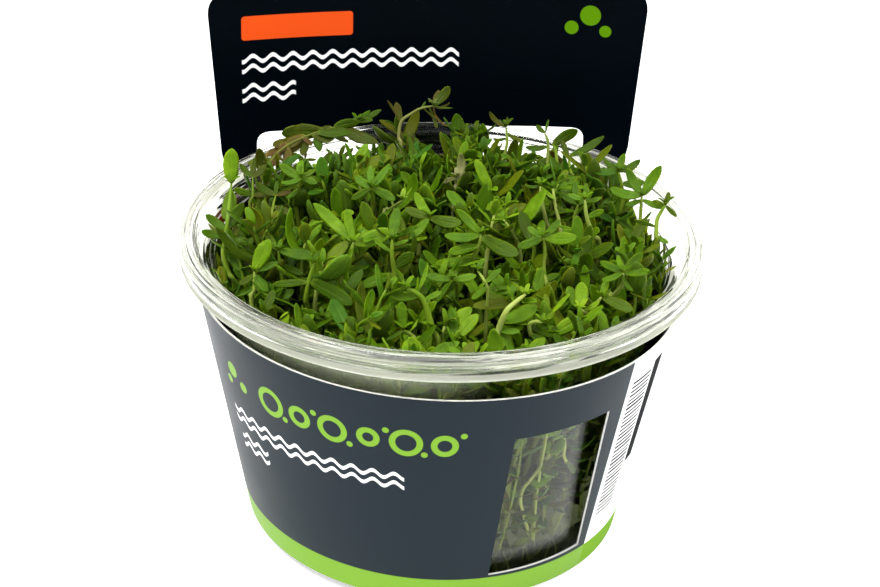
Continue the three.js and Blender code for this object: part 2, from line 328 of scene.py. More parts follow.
CARD_SIDES = 240
CARD_LEVELS = (10, 16, 22, 28, 34, 38, 42, 45, 48, 50, 52, 54, 55.6, 57.2, 64, 74, 84)
BEYOND_CARD = 70
PANEL_WIDENS = (46, 58)  # heights between which the flat panel widens to the header
CARD_LOOSENS = (10, 46)  # heights between which the card leaves the round of the cup


def sleeve_radius(z):
    return SLEEVE_RADIUS + SLEEVE_TAPER * z


def panel_distance(z):
    """Distance from the axis to the back of the card, on the centre line."""
    clear = RIM_RADIUS + CARD + GAP + 0.1
    if z <= PANEL_LEAVES_CUP:
        return sleeve_radius(z)
    if z >= PANEL_PASSES_RIM:
        return clear + (z - PANEL_PASSES_RIM) * math.tan(math.radians(HEADER_LEAN))
    share = (z - PANEL_LEAVES_CUP) / (PANEL_PASSES_RIM - PANEL_LEAVES_CUP)
    return lerp(sleeve_radius(PANEL_LEAVES_CUP), clear, share)


def panel_half_width(z):
    return lerp(0.8 * sleeve_radius(z), HEADER_HALF_WIDTH + 1.5, smoothstep(z, *PANEL_WIDENS))


def soft_minimum(a, b, width):
    share = max(width - abs(a - b), 0) / width
    return min(a, b) - share * share * width * 0.25


def card_distance(angle, z):
    """Distance from the axis to the outside of the card, at an angle from the back."""
    radius = sleeve_radius(z)
    from_back = abs(angle)
    half_width = panel_half_width(z)
    corner_depth = panel_distance(z) - half_width**2 / (2 * PANEL_BEND_RADIUS)
    corner = math.hypot(half_width, corner_depth)
    side_normal = math.atan2(half_width, corner_depth) + math.acos(min(1, radius / corner))
    side = radius / math.cos(side_normal - from_back) if from_back < side_normal else radius
    leave = smoothstep(z, *CARD_LOOSENS)
    if from_back > math.radians(80):
        return lerp(radius, side, leave)
    bow = max(math.sin(from_back) ** 2 / PANEL_BEND_RADIUS, 1e-9)
    root = math.sqrt(math.cos(from_back) ** 2 + 2 * panel_distance(z) * bow)
    panel = (root - math.cos(from_back)) / bow
    fold = lerp(FOLD_WIDTH, 2, smoothstep(z, 50, PANEL_PASSES_RIM))
    return max(radius, lerp(radius, soft_minimum(panel, side, fold), leave))


def quadratic(start, control, end, steps=6):
    """Points along a quadratic curve, without its start."""
    points = []
    for i in range(1, steps + 1):
        t = i / steps
        near, middle, far = (1 - t) ** 2, 2 * t * (1 - t), t * t
        points.append(tuple(near * start[k] + middle * control[k] + far * end[k] for k in (0, 1)))
    return points


def header_half(side):
    """Half of the header with its cut-out and leg, on side 1 (right) or -1 (left)."""

    def cutout(distance, z):
        return (CUTOUT_SHIFT + side * distance, z)

    inner_top = CUTOUT_TOP - 0.3
    waist = cutout(TONGUE_HALF_WIDTH, TONGUE_WAIST)
    outer = cutout(CUTOUT_OUTER - CUTOUT_CORNER, CUTOUT_TOP)
    down = cutout(CUTOUT_OUTER, CUTOUT_TOP - CUTOUT_CORNER)
    foot = (side * HEADER_FOOT_HALF_WIDTH, LEG_FOOT)
    rim_foot = (side * HEADER_RIM_HALF_WIDTH, CUP_HEIGHT - RIM_SKIRT)
    shoulder = (side * HEADER_HALF_WIDTH, HEADER_TOP - HEADER_CORNER)
    top = (side * (HEADER_HALF_WIDTH - HEADER_CORNER), HEADER_TOP)
    points = [cutout(TONGUE_HALF_WIDTH, LEG_FOOT), waist]
    hip = cutout(TONGUE_HALF_WIDTH + 4, inner_top - 0.3)
    points += quadratic(waist, hip, cutout(CUTOUT_INNER, inner_top))
    points += [outer] + quadratic(outer, cutout(CUTOUT_OUTER, CUTOUT_TOP), down)
    points += [cutout(CUTOUT_OUTER, LEG_FOOT), foot]
    points += quadratic(foot, (side * (HEADER_RIM_HALF_WIDTH - 1), LEG_FOOT + 2.5), rim_foot)
    return points + [shoulder] + quadratic(shoulder, (side * HEADER_HALF_WIDTH, HEADER_TOP), top)


def header_outline():
    loop = header_half(1) + header_half(-1)[::-1]
    return [(x, z + HEADER_TILT * x) for x, z in loop]


def prism(name, outline, far, near, material):
    """A cutter: an outline in the XZ plane, drawn out from the plane y = far to y = near."""
    face = list(range(len(outline)))
    cutter = mesh_piece(name, [(x, far, z) for x, z in outline], faces=[face])
    cutter.data.materials.append(material)
    edit_all()
    bpy.ops.mesh.extrude_region_move(TRANSFORM_OT_translate={"value": (0, (near - far) * MM, 0)})
    end_edit()
    return cutter


def cut(piece, cutter, operation):
    settings = {"solver": "EXACT", "material_mode": "TRANSFER"}
    apply_modifier(piece, "BOOLEAN", object=cutter, operation=operation, **settings)
    bpy.data.objects.remove(cutter)


def card_wall():
    """The card before it is trimmed: a tall tube of the sleeve's section at every height."""
    top = (HEADER_TOP + 2) * MM
    deselect()
    bpy.ops.mesh.primitive_cylinder_add(
        vertices=CARD_SIDES,
        radius=sleeve_radius(0) * MM,
        depth=top,
        end_fill_type="NOTHING",
        location=(0, 0, top / 2),
    )
    wall = bpy.context.object
    wall.name = "card_sleeve"
    bpy.ops.object.transform_apply(location=True)
    bpy.ops.object.mode_set(mode="EDIT")
    for z in CARD_LEVELS:
        bpy.ops.mesh.select_all(action="SELECT")
        bpy.ops.mesh.bisect(plane_co=(0, 0, z * MM), plane_no=(0, 0, 1))
    bpy.ops.object.mode_set(mode="OBJECT")
    for vertex in wall.data.vertices:
        z = vertex.co.z / MM
        angle = math.atan2(-vertex.co.x, vertex.co.y)
        distance = card_distance(angle, z) * MM
        vertex.co = (-distance * math.sin(angle), distance * math.cos(angle), vertex.co.z)
    return wall


def card_sleeve(print_outside, print_inside, bare_edge):
    sleeve = card_wall()
    for material in (print_outside, print_inside, bare_edge):
        sleeve.data.materials.append(material)
    settings = {"offset": -1, "material_offset": 1, "material_offset_rim": 2}
    apply_modifier(sleeve, "SOLIDIFY", thickness=CARD * MM, **settings)
    far = BEYOND_CARD
    foot = [(x, SLEEVE_FOOT - SLEEVE_TILT * x) for x in (-far, far)]
    brim = [(x, SLEEVE_TOP - SLEEVE_TILT * x) for x in (far, -far)]
    room = prism("band_room", foot + brim, far, -far, bare_edge)
    cut(room, prism("header_room", header_outline(), far, LEG_NEAREST, bare_edge), "UNION")
    cut(sleeve, room, "INTERSECT")
    width = WINDOW_HALF_WIDTH
    pane = [(-width, WINDOW_FOOT), (width, WINDOW_FOOT), (width, WINDOW_TOP), (-width, WINDOW_TOP)]
    opening = prism("window_room", pane, 0, -far, bare_edge)
    opening.data.transform(Matrix.Rotation(math.radians(WINDOW_AZIMUTH), 4, "Z"))
    cut(sleeve, opening, "DIFFERENCE")
    smooth(sleeve, 30)
    belongs(sleeve, "card", "sleeve")


# Colours of the print, and its places in millimetres: first across the header from its middle, or round the
# band from the front, then up from the floor
INSIDE_INKS = ((0.0003, 0.0012, 0.0022), (0.0008, 0.0022, 0.0042))
OUTSIDE_INKS = ((0.0030, 0.0095, 0.0150), (0.0042, 0.0125, 0.0190))
LEAF_GREEN = (0.168, 0.345, 0.022)
MARK_GREEN = (0.084, 0.215, 0.002)
PAPER_WHITE = (0.86, 0.87, 0.86)
LOZENGE_ORANGE = (0.69, 0.072, 0.009)
RULE_GREY = (0.016, 0.016, 0.016)
BAR_BLACK = (0.006, 0.006, 0.008)
BOARD_GREYS = ((0.72, 0.71, 0.68), (0.93, 0.92, 0.90))
BAND_ARC = 45.8  # millimetres of print for each radian round the cup
FOOT_BAND = 6.9
LOZENGE = ((-27.3, 83.3), (11.7, 2.6), 0.7)
HEADER_WAVES = ((-39.0, 7.0, 75.7), (-39.0, -27.6, 69.4))
HEADER_DISCS = (((34.2, 86.0), 2.2), ((30.4, 83.2), 1.5), ((37.4, 82.8), 1.3))
BUBBLE_RADII = (3.3, 2.5, 3.1, 2.3, 3.2, 2.6)
BUBBLE_START = -37.6
BUBBLE_PITCH = 7.1
BUBBLE_LEVEL = 41.0
BAND_WAVES = ((-52.6, -9.5, 31.6), (-51.8, -41.6, 25.6))
BAND_DISCS = (((-49.6, 42.4), 1.7), ((-46.2, 40.0), 1.2), ((-51.6, 39.4), 1.0))
PANEL_SIDES = (36.2, 82.0)
RULE_SIDES = (37.8, 44.7)
RULE_ENDS = (13.0, 46.5)
BAR_SIDES = (45.5, 49.4)
BAR_ENDS = (23.0, 47.6)
BELOW_ALL = -9.0  # low end of a mask that has no lower edge


def distance_from(tree, across, up, centre, half=(0.0, 0.0)):
    """Distance from a box round the centre, or from the centre itself."""
    beside, over = (
        calc(tree, "MAXIMUM", minus(tree, calc(tree, "ABSOLUTE", minus(tree, place, middle)), reach), 0.0)
        for place, middle, reach in zip((across, up), centre, half)
    )
    return hypotenuse(tree, beside, over)


def disc(tree, across, up, centre, radius):
    return between(tree, distance_from(tree, across, up, centre), BELOW_ALL, radius, 0.12)


def bubble(tree, across, up, centre, radius, line=1.3):
    return between(tree, distance_from(tree, across, up, centre), radius - line, radius, 0.12)


def rounded_bar(tree, across, up, centre, half, corner):
    core = (half[0] - corner, half[1] - corner)
    return between(tree, distance_from(tree, across, up, centre, core), BELOW_ALL, corner, 0.1)


def water_line(tree, across, up, first, last, height):
    """Two wavy lines, one over the other, as water is drawn."""
    wave = times(tree, calc(tree, "SINE", times(tree, across, 1.5)), 0.62)
    over = minus(tree, minus(tree, up, height), wave)
    apart = calc(tree, "ABSOLUTE", minus(tree, calc(tree, "ABSOLUTE", over), 1.05))
    return times(tree, between(tree, apart, BELOW_ALL, 0.5, 0.12), between(tree, across, first, last, 0.2))


def water_and_discs(tree, across, up, colour, waves, discs, disc_colour):
    for wave in waves:
        colour = mix_colour(tree, water_line(tree, across, up, *wave), colour, PAPER_WHITE)
    for centre, radius in discs:
        colour = mix_colour(tree, disc(tree, across, up, centre, radius), colour, disc_colour)
    return colour


def header_print(tree, x, z, ink):
    colour = mix_colour(tree, rounded_bar(tree, x, z, *LOZENGE), ink, LOZENGE_ORANGE)
    return water_and_discs(tree, x, z, colour, HEADER_WAVES, HEADER_DISCS, MARK_GREEN)


def band_print(tree, arc, level, colour):
    """The outside of the card by its distance round the cup from the front and its height."""
    for step, radius in enumerate(BUBBLE_RADII):
        centre = BUBBLE_START + BUBBLE_PITCH * step
        height = BUBBLE_LEVEL + 0.25 * (radius - 2.8) * (-1) ** (step // 2)
        colour = mix_colour(tree, bubble(tree, arc, level, (centre, height), radius), colour, LEAF_GREEN)
        drop = (centre + 3.4, height + (2.4 if step % 2 else -2.5))
        colour = mix_colour(tree, disc(tree, arc, level, drop, 0.7), colour, LEAF_GREEN)
    colour = water_and_discs(tree, arc, level, colour, BAND_WAVES, BAND_DISCS, LEAF_GREEN)
    colour = mix_colour(tree, between(tree, arc, *PANEL_SIDES, 0.15), colour, side_panel(tree, arc, level))
    return mix_colour(tree, between(tree, level, BELOW_ALL, FOOT_BAND, 0.12), colour, LEAF_GREEN)


def side_panel(tree, arc, level):
    """A pale panel with plain grey rules and one dark bar."""
    row = calc(tree, "FRACT", times(tree, level, 0.97))
    uneven = add_node(tree, "ShaderNodeTexNoise", {"W": times(tree, level, 0.7)}, noise_dimensions="1D")
    rule = between(tree, row, 0.06, times(tree, uneven.outputs["Fac"], 1.3), 0.06)
    rule = times(tree, rule, between(tree, arc, *RULE_SIDES, 0.1), between(tree, level, *RULE_ENDS, 0.2))
    bar = times(tree, between(tree, arc, *BAR_SIDES, 0.1), between(tree, level, *BAR_ENDS, 0.15))
    return mix_colour(tree, bar, mix_colour(tree, rule, PAPER_WHITE, RULE_GREY), BAR_BLACK)


def print_material(name, inside, fibre):
    """Dark silk print: the header's marks inside, and the band's marks and its pale side panel outside."""
    material, tree, shader = new_material(name)
    place, x, y, z = object_place(tree)
    grain = use_group(tree, fibre, {"Place": place})
    ink = mix_colour(tree, grain["Cloud"], *(INSIDE_INKS if inside else OUTSIDE_INKS))
    gloss = remap(tree, grain["Cloud"], 0.3, 0.7, 0.24, 0.32)
    if inside:
        colour = header_print(tree, x, z, ink)
    else:
        arc = times(tree, calc(tree, "ARCTAN2", x, times(tree, y, -1.0)), BAND_ARC)
        level = plus(tree, z, times(tree, x, SLEEVE_TILT))
        colour = band_print(tree, arc, level, ink)
        panel = between(tree, arc, *PANEL_SIDES, 0.15)
        gloss = plus(tree, plus(tree, gloss, 0.12), times(tree, panel, 0.5))
    relief = bump(tree, 0.12, 0.00003, grain["Height"])
    ior = 1.07 if inside else 1.22
    fill(tree, shader, {"Base Color": colour, "Roughness": gloss, "IOR": ior, "Normal": relief})
    return material


def bare_card(fibre):
    material, tree, shader = new_material("bare_card_edge")
    grain = use_group(tree, fibre, {"Place": object_place(tree)[0], "Scale": 2200.0})
    colour = mix_colour(tree, grain["Height"], *BOARD_GREYS)
    relief = bump(tree, 0.3, 0.00005, grain["Height"])
    fill(tree, shader, {"Base Color": colour, "Roughness": 0.85, "Normal": relief})
    return material


# ---------------------------------------------------------------- clear cup and gel


def rounded_profile(corners, steps=4):
    """Points of an open profile whose corners (radius, height, rounding) are rounded off."""
    points = [corners[0][:2]]
    for before, corner, after in zip(corners, corners[1:], corners[2:]):
        here = Vector(corner[:2])
        room = min((Vector(before[:2]) - here).length, (Vector(after[:2]) - here).length)
        rounding = min(corner[2], 0.48 * room)
        if rounding == 0:
            points.append(tuple(here))
            continue
        back = (Vector(before[:2]) - here).normalized() * rounding
        on = (Vector(after[:2]) - here).normalized() * rounding
        points.append(tuple(here + back))
        points += quadratic(here + back, here, here + on, steps)
    points.append(corners[-1][:2])
    return points


def spun(name, profile, steps):
    """A closed body turned about the cup's axis from a profile that starts and ends on it."""
    vertices = [(r, 0, z) for r, z in profile]
    edges = [(i, i + 1) for i in range(len(vertices) - 1)]
    piece = mesh_piece(name, vertices, edges)
    edit_all()
    bpy.ops.mesh.spin(steps=steps, angle=math.tau, center=(0, 0, 0), axis=(0, 0, 1))
    bpy.ops.mesh.select_all(action="SELECT")
    bpy.ops.mesh.remove_doubles(threshold=0.000002)
    bpy.ops.mesh.normals_make_consistent(inside=False)
    if bmesh.from_edit_mesh(piece.data).calc_volume(signed=True) < 0:
        bpy.ops.mesh.flip_normals()
    bpy.ops.object.mode_set(mode="OBJECT")
    return piece


def clear_cup(wall, rim):
    skirt_foot = CUP_HEIGHT - RIM_SKIRT
    under_rim = CUP_HEIGHT - 1.25
    land = CUP_HEIGHT - 0.3
    step = CUP_SHOULDER + 0.9
    inside = MOUTH_RADIUS - CUP_WALL
    skirt_inside = RIM_RADIUS - 0.85
    bead = RIM_RADIUS - 0.1
    groove = RIM_RADIUS - 0.5
    corners = [
        (0, 0, 0),
        (CUP_FOOT_RADIUS - 0.4, 0, 0.5),
        (cup_outer(0.9), 0.9, 0.4),
        (cup_outer(CUP_SHOULDER), CUP_SHOULDER, 0.4),
        (MOUTH_RADIUS - 0.6, step, 0.5),
        (MOUTH_RADIUS, under_rim, 0.25),
        (skirt_inside, under_rim, 0.3),
        (skirt_inside, skirt_foot + 0.2, 0.1),
        (RIM_RADIUS - 0.65, skirt_foot, 0.1),
        (RIM_RADIUS, skirt_foot, 0.3),
        (RIM_RADIUS, skirt_foot + 1.5, 0.35),
        (groove, skirt_foot + 1.85, 0.15),
        (bead, skirt_foot + 2.2, 0.3),
        (bead, skirt_foot + 3.3, 0.3),
        (groove, skirt_foot + 3.6, 0.15),
        (bead, CUP_HEIGHT - 0.65, 0.25),
        (RIM_RADIUS - 0.5, CUP_HEIGHT, 0.3),
        (RIM_RADIUS - 1.0, CUP_HEIGHT - 0.45, 0.2),
        (RIM_RADIUS - 1.5, CUP_HEIGHT, 0.3),
        (RIM_LAND_RADIUS + 0.3, CUP_HEIGHT - 0.55, 0.2),
        (RIM_LAND_RADIUS, land, 0.25),
        (inside + 0.35, land, 0.2),
        (inside, land - 0.6, 0.25),
        (inside - 0.6, step + CUP_WALL, 0.4),
        (cup_inner(CUP_SHOULDER), CUP_SHOULDER + CUP_WALL, 0.4),
        (cup_inner(CUP_FLOOR), CUP_FLOOR, 0.6),
        (0, CUP_FLOOR, 0),
    ]
    cup = spun("clear_cup", rounded_profile(corners), 168)
    cup.data.materials.append(wall)
    cup.data.materials.append(rim)
    for face in cup.data.polygons:
        face.material_index = int(face.center.z > CUP_SHOULDER * MM)
    smooth(cup, 50)
    belongs(cup, "clear_plastic", "cup")


def flow_marks():
    """Soft cloudiness and the fine rings that a moulded cup carries all round."""
    group, place, scale, result = new_group("flow marks", 55.0, "Cloud", "Rings")
    x, y, z = split_up(group, place)
    radius = hypotenuse(group, x, y)
    drift = times(group, plus(group, x, y), 0.045)
    course = add_node(group, "ShaderNodeCombineXYZ", {0: radius, 1: z, 2: drift}).outputs[0]
    rings = noise(group, course, 1300.0, 1.0)
    fill(group, result, {"Cloud": noise(group, place, scale, 3.0), "Rings": rings})
    return group


def clear_wall(marks):
    """The thin wall. On its upper front at the left, where it runs out into the rim, a pale diffuse share is
    mixed in: a painted reflection of the bright surroundings.
    """
    material, tree, shader = new_material("clear_wall")
    place, x, y, z = object_place(tree)
    cloud = use_group(tree, marks, {"Place": place})["Cloud"]
    fill(tree, shader, {
        "Base Color": (0.985, 0.99, 0.975, 1),
        "Transmission Weight": 1.0,
        "IOR": WALL_IOR,
        "Roughness": remap(tree, cloud, 0.35, 0.75, 0.05, 0.16),
        "Normal": bump(tree, 0.25, 0.0002, cloud),
    })
    # Painted reflection: a pale green-white diffuse share, strongest high on the wall's front left.
    high = remap(tree, z, 45.0, 51.5, 0.0, 0.21)
    left = remap(tree, x, -12.0, 6.0, 1.0, 0.0)
    front = remap(tree, y, -20.0, 0.0, 1.0, 0.0)
    mix_in_scatter(tree, shader, times(tree, high, left, front), "ShaderNodeBsdfDiffuse", (0.90, 0.96, 0.70))
    return material


def two_bands(tree, height, first, second):
    return calc(tree, "MAXIMUM", between(tree, height, *first), between(tree, height, *second))


def clear_rim(marks):
    """The thicker rim, with painted highlight lines: a whitish translucent share along its fine rings, partly
    real flow marks, and in bands on its outer beads, held back in its grooves. At the back the share fades out.
    """
    material, tree, shader = new_material("clear_rim")
    place, x, y, z = object_place(tree)
    rings = use_group(tree, marks, {"Place": place})["Rings"]
    # Towards the back the painted whitish share and the ring relief fade out, which leaves the rim dark before
    # the header.
    away_from_back = remap(tree, y, *BACK_FADE, 1.0, 0.04)
    calm = remap(tree, y, *BACK_FADE, 0.0, 0.07)
    fill(tree, shader, {
        "Base Color": (0.955, 0.97, 0.90, 1),
        "Transmission Weight": 1.0,
        "IOR": RIM_IOR,
        "Roughness": calc(tree, "MAXIMUM", remap(tree, rings, 0.35, 0.7, 0.01, 0.06), calm),
        "Normal": bump(tree, 0.6, 0.00014, times(tree, rings, away_from_back)),
    })
    # Painted highlight: whitish streaks where the ring pattern peaks, partly following the real flow marks.
    flow_streak_highlight = remap(tree, rings, 0.54, 0.575, 0.0, 0.55)
    # Painted shade in the two grooves, where the whitish share is held back, and painted highlight bands on the
    # outer beads.
    painted_groove_shade = two_bands(tree, z, (59.2, 60.45, 0.12), (61.15, 61.6, 0.1))
    painted_crest_highlight = two_bands(tree, z, (57.2, 58.95, 0.12), (60.65, 60.95, 0.06))
    painted_crest_highlight = times(tree, painted_crest_highlight, between(tree, hypotenuse(tree, x, y), 49.9, 52.0, 0.05), 0.88)
    share = times(tree, flow_streak_highlight, minus(tree, 1.0, times(tree, painted_groove_shade, 0.9)))
    share = times(tree, calc(tree, "MAXIMUM", share, painted_crest_highlight), away_from_back)
    mix_in_scatter(tree, shader, share, "ShaderNodeBsdfTranslucent", (0.99, 0.995, 0.92))
    return material


def culture_gel(material):
    foot = CUP_FLOOR + GAP
    top = GEL_TOP
    edge = cup_inner(top) - GAP
    corners = [
        (0, foot, 0),
        (cup_inner(foot) - GAP, foot, 0.5),
        (edge, top, 0.2),
        (edge - 1.6, top - 0.7, 0.8),
        (0, top - 0.9, 0),
    ]
    profile = rounded_profile(corners)
    rim, centre = profile[-2:]
    inward = [(lerp(rim[0], centre[0], k / 9), lerp(rim[1], centre[1], k / 9)) for k in range(1, 9)]
    gel = spun("culture_gel", profile[:-1] + inward + [centre], 72)
    for vertex in gel.data.vertices:
        x, y, z = (c / MM for c in vertex.co)
        if z > top - 1.2 and math.hypot(x, y) < edge - 2:
            lump = math.sin(0.31 * x + 0.6) * math.sin(0.27 * y) + 0.5 * math.sin(0.9 * x - 0.7 * y)
            vertex.co.z += min(0.35 * lump, 0.5) * MM
    gel.data.materials.append(material)
    smooth(gel, 60)
    belongs(gel, "gel", "gel")


def gel_matter():
    material, tree, shader = new_material("culture_gel")
    cloud = noise(tree, object_place(tree)[0], 110.0, 3.0)
    fill(tree, shader, {
        "Base Color": colour_ramp(tree, cloud, ((0.35, (0.15, 0.19, 0.08)), (0.7, (0.28, 0.32, 0.17)))),
        "Transmission Weight": 0.96,
        "Roughness": 0.16,
        "IOR": 1.34,
    })
    return material


# ---------------------------------------------------------------- leaves and stems

LEAF_RINGS = 7
LEAF_SIDES = 8
STATIONS = (0.0, 0.07, 0.19, 0.35, 0.53, 0.72, 0.87, 0.965, 1.0)

# Outlines: half the leaf's width at each ring, for a leaf 1 long
OBLONG = (0.078, 0.122, 0.160, 0.180, 0.168, 0.122, 0.058)
BROAD = (0.085, 0.145, 0.198, 0.222, 0.206, 0.148, 0.070)
SLIM = (0.060, 0.088, 0.112, 0.124, 0.114, 0.080, 0.036)
LANCE = (0.082, 0.124, 0.150, 0.150, 0.124, 0.080, 0.032)
BUD = (0.09, 0.15, 0.19, 0.20, 0.18, 0.13, 0.07)

# Outline, fold along the rib, bend at each ring, twist, waviness of the edge, sideways sweep, and the bud's
# thickness. Angles are in degrees
LEAF_FORMS = {
    "flat": (OBLONG, 0.20, (0, 1, 3, 4, 6, 5, 3), 4, 0.022, 6),
    "arched": (OBLONG, 0.26, (-4, 4, 12, 16, 16, 12, 6), -10, 0.020, -8),
    "hooked": (SLIM, 0.35, (0, 10, 18, 24, 24, 16, 8), 14, 0.014, 12),
    "broad": (BROAD, 0.16, (-3, 0, 4, 8, 9, 7, 4), 6, 0.030, -5),
    "lifted": (OBLONG, 0.38, (-10, -9, -5, 0, 6, 9, 6), -6, 0.020, 8),
    "slim": (SLIM, 0.30, (-2, 2, 6, 8, 9, 7, 4), 18, 0.018, -14),
    "lance": (LANCE, 0.30, (-4, 3, 9, 12, 12, 9, 5), -14, 0.022, 12),
    "wavy": (BROAD, 0.10, (2, 10, 2, -6, 4, 16, 10), 22, 0.050, 16),
    "curled": (SLIM, 0.60, (12, 18, 24, 28, 28, 20, 10), 46, 0.03, 0),
    "bud": (BUD, 0.6, (-6, -8, -9, -8, -6, -3, 0), 0, 0, 0, 0.06),
}


class Form:
    """One modelled leaf, 1 long from its base at the origin along +X, its upper face towards +Z.

    Each point has its place along and across the leaf, and 1 or 0 for whether it is on the underside.
    """

    def __init__(self, points, faces, along, across, under):
        self.points = points
        self.faces = faces
        self.along = along
        self.across = across
        self.under = under


def choose(mesh, indices):
    """Selects these vertices in edit mode and nothing else."""
    wanted = set(indices)
    for vertex in mesh.verts:
        vertex.select_set(vertex.index in wanted)
    mesh.select_flush_mode()


def from_rib(vertex):
    return math.hypot(vertex.co.y, vertex.co.z)


def leaf_rings(mesh):
    """The sphere's rings of vertices from one pole to the other, which become the leaf's base and tip."""
    order = [v.index for v in sorted(mesh.verts, key=lambda v: v.co.x)]
    rings = [order[1 + k * LEAF_SIDES : 1 + (k + 1) * LEAF_SIDES] for k in range(LEAF_RINGS)]
    mesh.verts.ensure_lookup_table()
    return [order[:1], *rings, order[-1:]]


def leaf_marks(mesh, rings):
    """For each vertex its place along the leaf, its place across it, and 1 where it is on the underside."""
    along, across, under = np.zeros((3, len(mesh.verts)))
    for station, ring in zip(STATIONS, rings):
        for i in ring:
            vertex = mesh.verts[i]
            reach = from_rib(vertex)
            along[i] = station
            across[i] = vertex.co.y / reach if reach > 1e-6 else 0
            under[i] = vertex.co.z < -1e-4
    return along, across, under


def widen(mesh, rings, half_widths, thickness):
    """Moves each ring to its station and widens it to the outline."""
    for k, (station, ring) in enumerate(zip(STATIONS, rings)):
        reach = max(from_rib(mesh.verts[i]) for i in ring)
        choose(mesh, ring)
        bpy.ops.transform.translate(value=(station - mesh.verts[ring[0]].co.x, 0, 0))
        if len(ring) > 1:
            scale = (1, half_widths[k - 1] / reach, 0.5 * thickness / reach)
            bpy.ops.transform.resize(value=scale, center_override=(station, 0, 0))


def fold_up(mesh, along, widest, fold, wave):
    """Folds the blade up along the midrib and waves its edges."""
    for vertex in mesh.verts:
        out = abs(vertex.co.y) / widest
        ripple = math.sin(9.5 * along[vertex.index] + (1.3 if vertex.co.y > 0 else 0.0))
        vertex.co.z += fold * abs(vertex.co.y) * (1 - 0.35 * out) + wave * out * out * ripple


def curve_over(mesh, rings, bend, twist, sweep):
    """Bends the blade down, sweeps it sideways and twists it, ring by ring towards the tip."""
    for k in range(1, LEAF_RINGS + 1):
        beyond = [i for ring in rings[k + 1 :] for i in ring]
        pivot = sum((mesh.verts[i].co for i in rings[k]), Vector()) / len(rings[k])
        choose(mesh, beyond)
        for degrees, axis in ((bend[k - 1], "Y"), (sweep / LEAF_RINGS, "Z"), (twist / LEAF_RINGS, "X")):
            bpy.ops.transform.rotate(value=math.radians(degrees), orient_axis=axis, center_override=pivot)


def leaf_form(half_widths, fold, bend, twist, wave, sweep, thickness=0.036):
    """A leaf shaped from a sphere."""
    deselect()
    bpy.ops.mesh.primitive_uv_sphere_add(segments=LEAF_SIDES, ring_count=LEAF_RINGS + 1, radius=0.5)
    leaf = bpy.context.object
    edit_all()
    bpy.ops.transform.rotate(value=math.pi / 2, orient_axis="Y", center_override=(0, 0, 0))
    mesh = bmesh.from_edit_mesh(leaf.data)
    rings = leaf_rings(mesh)
    along, across, under = leaf_marks(mesh, rings)
    widen(mesh, rings, half_widths, thickness)
    fold_up(mesh, along, max(half_widths), fold, wave)
    curve_over(mesh, rings, bend, twist, sweep)
    bmesh.update_edit_mesh(leaf.data)
    end_edit()
    points = np.array([v.co for v in leaf.data.vertices])
    faces = [tuple(p.vertices) for p in leaf.data.polygons]
    bpy.data.objects.remove(leaf)
    return Form(points, faces, along, across, under)


def unit(vector):
    vector = np.asarray(vector, float)
    return vector / np.linalg.norm(vector)


class Growth:
    """The leaves and stems of one piece, gathered before they become a mesh. Lengths in millimetres."""

    def __init__(self):
        self.points = []
        self.faces = []
        self.uv = []
        self.tint = []
        self.slots = []
        self.reach = []
        self.overhang = SEEDED_OVERHANG
        self.count = 0

    def add(self, points, faces, uv, tint, slot):
        self.points.append(points)
        self.faces += [tuple(i + self.count for i in face) for face in faces]
        self.uv.append(uv)
        self.tint.append(tint)
        self.slots += [slot] * len(faces)
        self.reach += [self.overhang] * len(points)
        self.count += len(points)

    def leaf(self, form, base, direction, upper, length, breadth, tint):
        side = unit(np.cross(upper, direction))
        upper = np.cross(direction, side)
        local = form.points * (length, length * breadth, length)
        points = base + local[:, :1] * direction + local[:, 1:2] * side + local[:, 2:] * upper
        uv = np.stack([form.along, 0.5 + 0.5 * form.across], 1)
        colour = np.tile(np.array([*tint, 0.0]), (len(points), 1))
        colour[:, 3] = form.under
        self.add(points, form.faces, uv, colour, 0)

    def leaf_to(self, form, base, tip, face, breadth, tint):
        """A leaf from its base to its tip, whatever its bend, with its upper side turned towards face."""
        chord = tip - base
        span = np.linalg.norm(chord)
        chord = chord / span
        upper = unit(face - np.dot(face, chord) * chord)
        end = form.points[form.along > 0.999].mean(0)
        rise = math.atan2(end[2], end[0])
        direction = math.cos(rise) * chord - math.sin(rise) * upper
        upper = math.sin(rise) * chord + math.cos(rise) * upper
        self.leaf(form, base, direction, upper, span / math.hypot(end[0], end[2]), breadth, tint)

    def stem(self, path, radii, tint, sides=6):
        """A round stem along a path, closed at both ends."""
        tangents = np.gradient(path, axis=0)
        tangents /= np.linalg.norm(tangents, axis=1)[:, None]
        angles = np.arange(sides) * math.tau / sides
        rings = []
        for point, tangent, radius in zip(path, tangents, radii):
            first = unit(np.cross(tangent, (0.83, 0.37, 0.41)))
            second = np.cross(tangent, first)
            circle = np.outer(np.cos(angles), first) + np.outer(np.sin(angles), second)
            rings.append(point + radius * circle)
        faces = []
        for k in range(len(rings) - 1):
            for i in range(sides):
                j = (i + 1) % sides
                faces.append((k * sides + i, k * sides + j, (k + 1) * sides + j, (k + 1) * sides + i))
        last = (len(rings) - 1) * sides
        faces.append(tuple(range(sides - 1, -1, -1)))
        faces.append(tuple(last + i for i in range(sides)))
        share = np.repeat(np.linspace(0, 1, len(rings)), sides)
        uv = np.stack([share, np.tile(np.arange(sides) / sides, len(rings))], 1)
        points = np.concatenate(rings)
        self.add(points, faces, uv, np.tile(np.array([*tint, 0.0]), (len(points), 1)), 1)


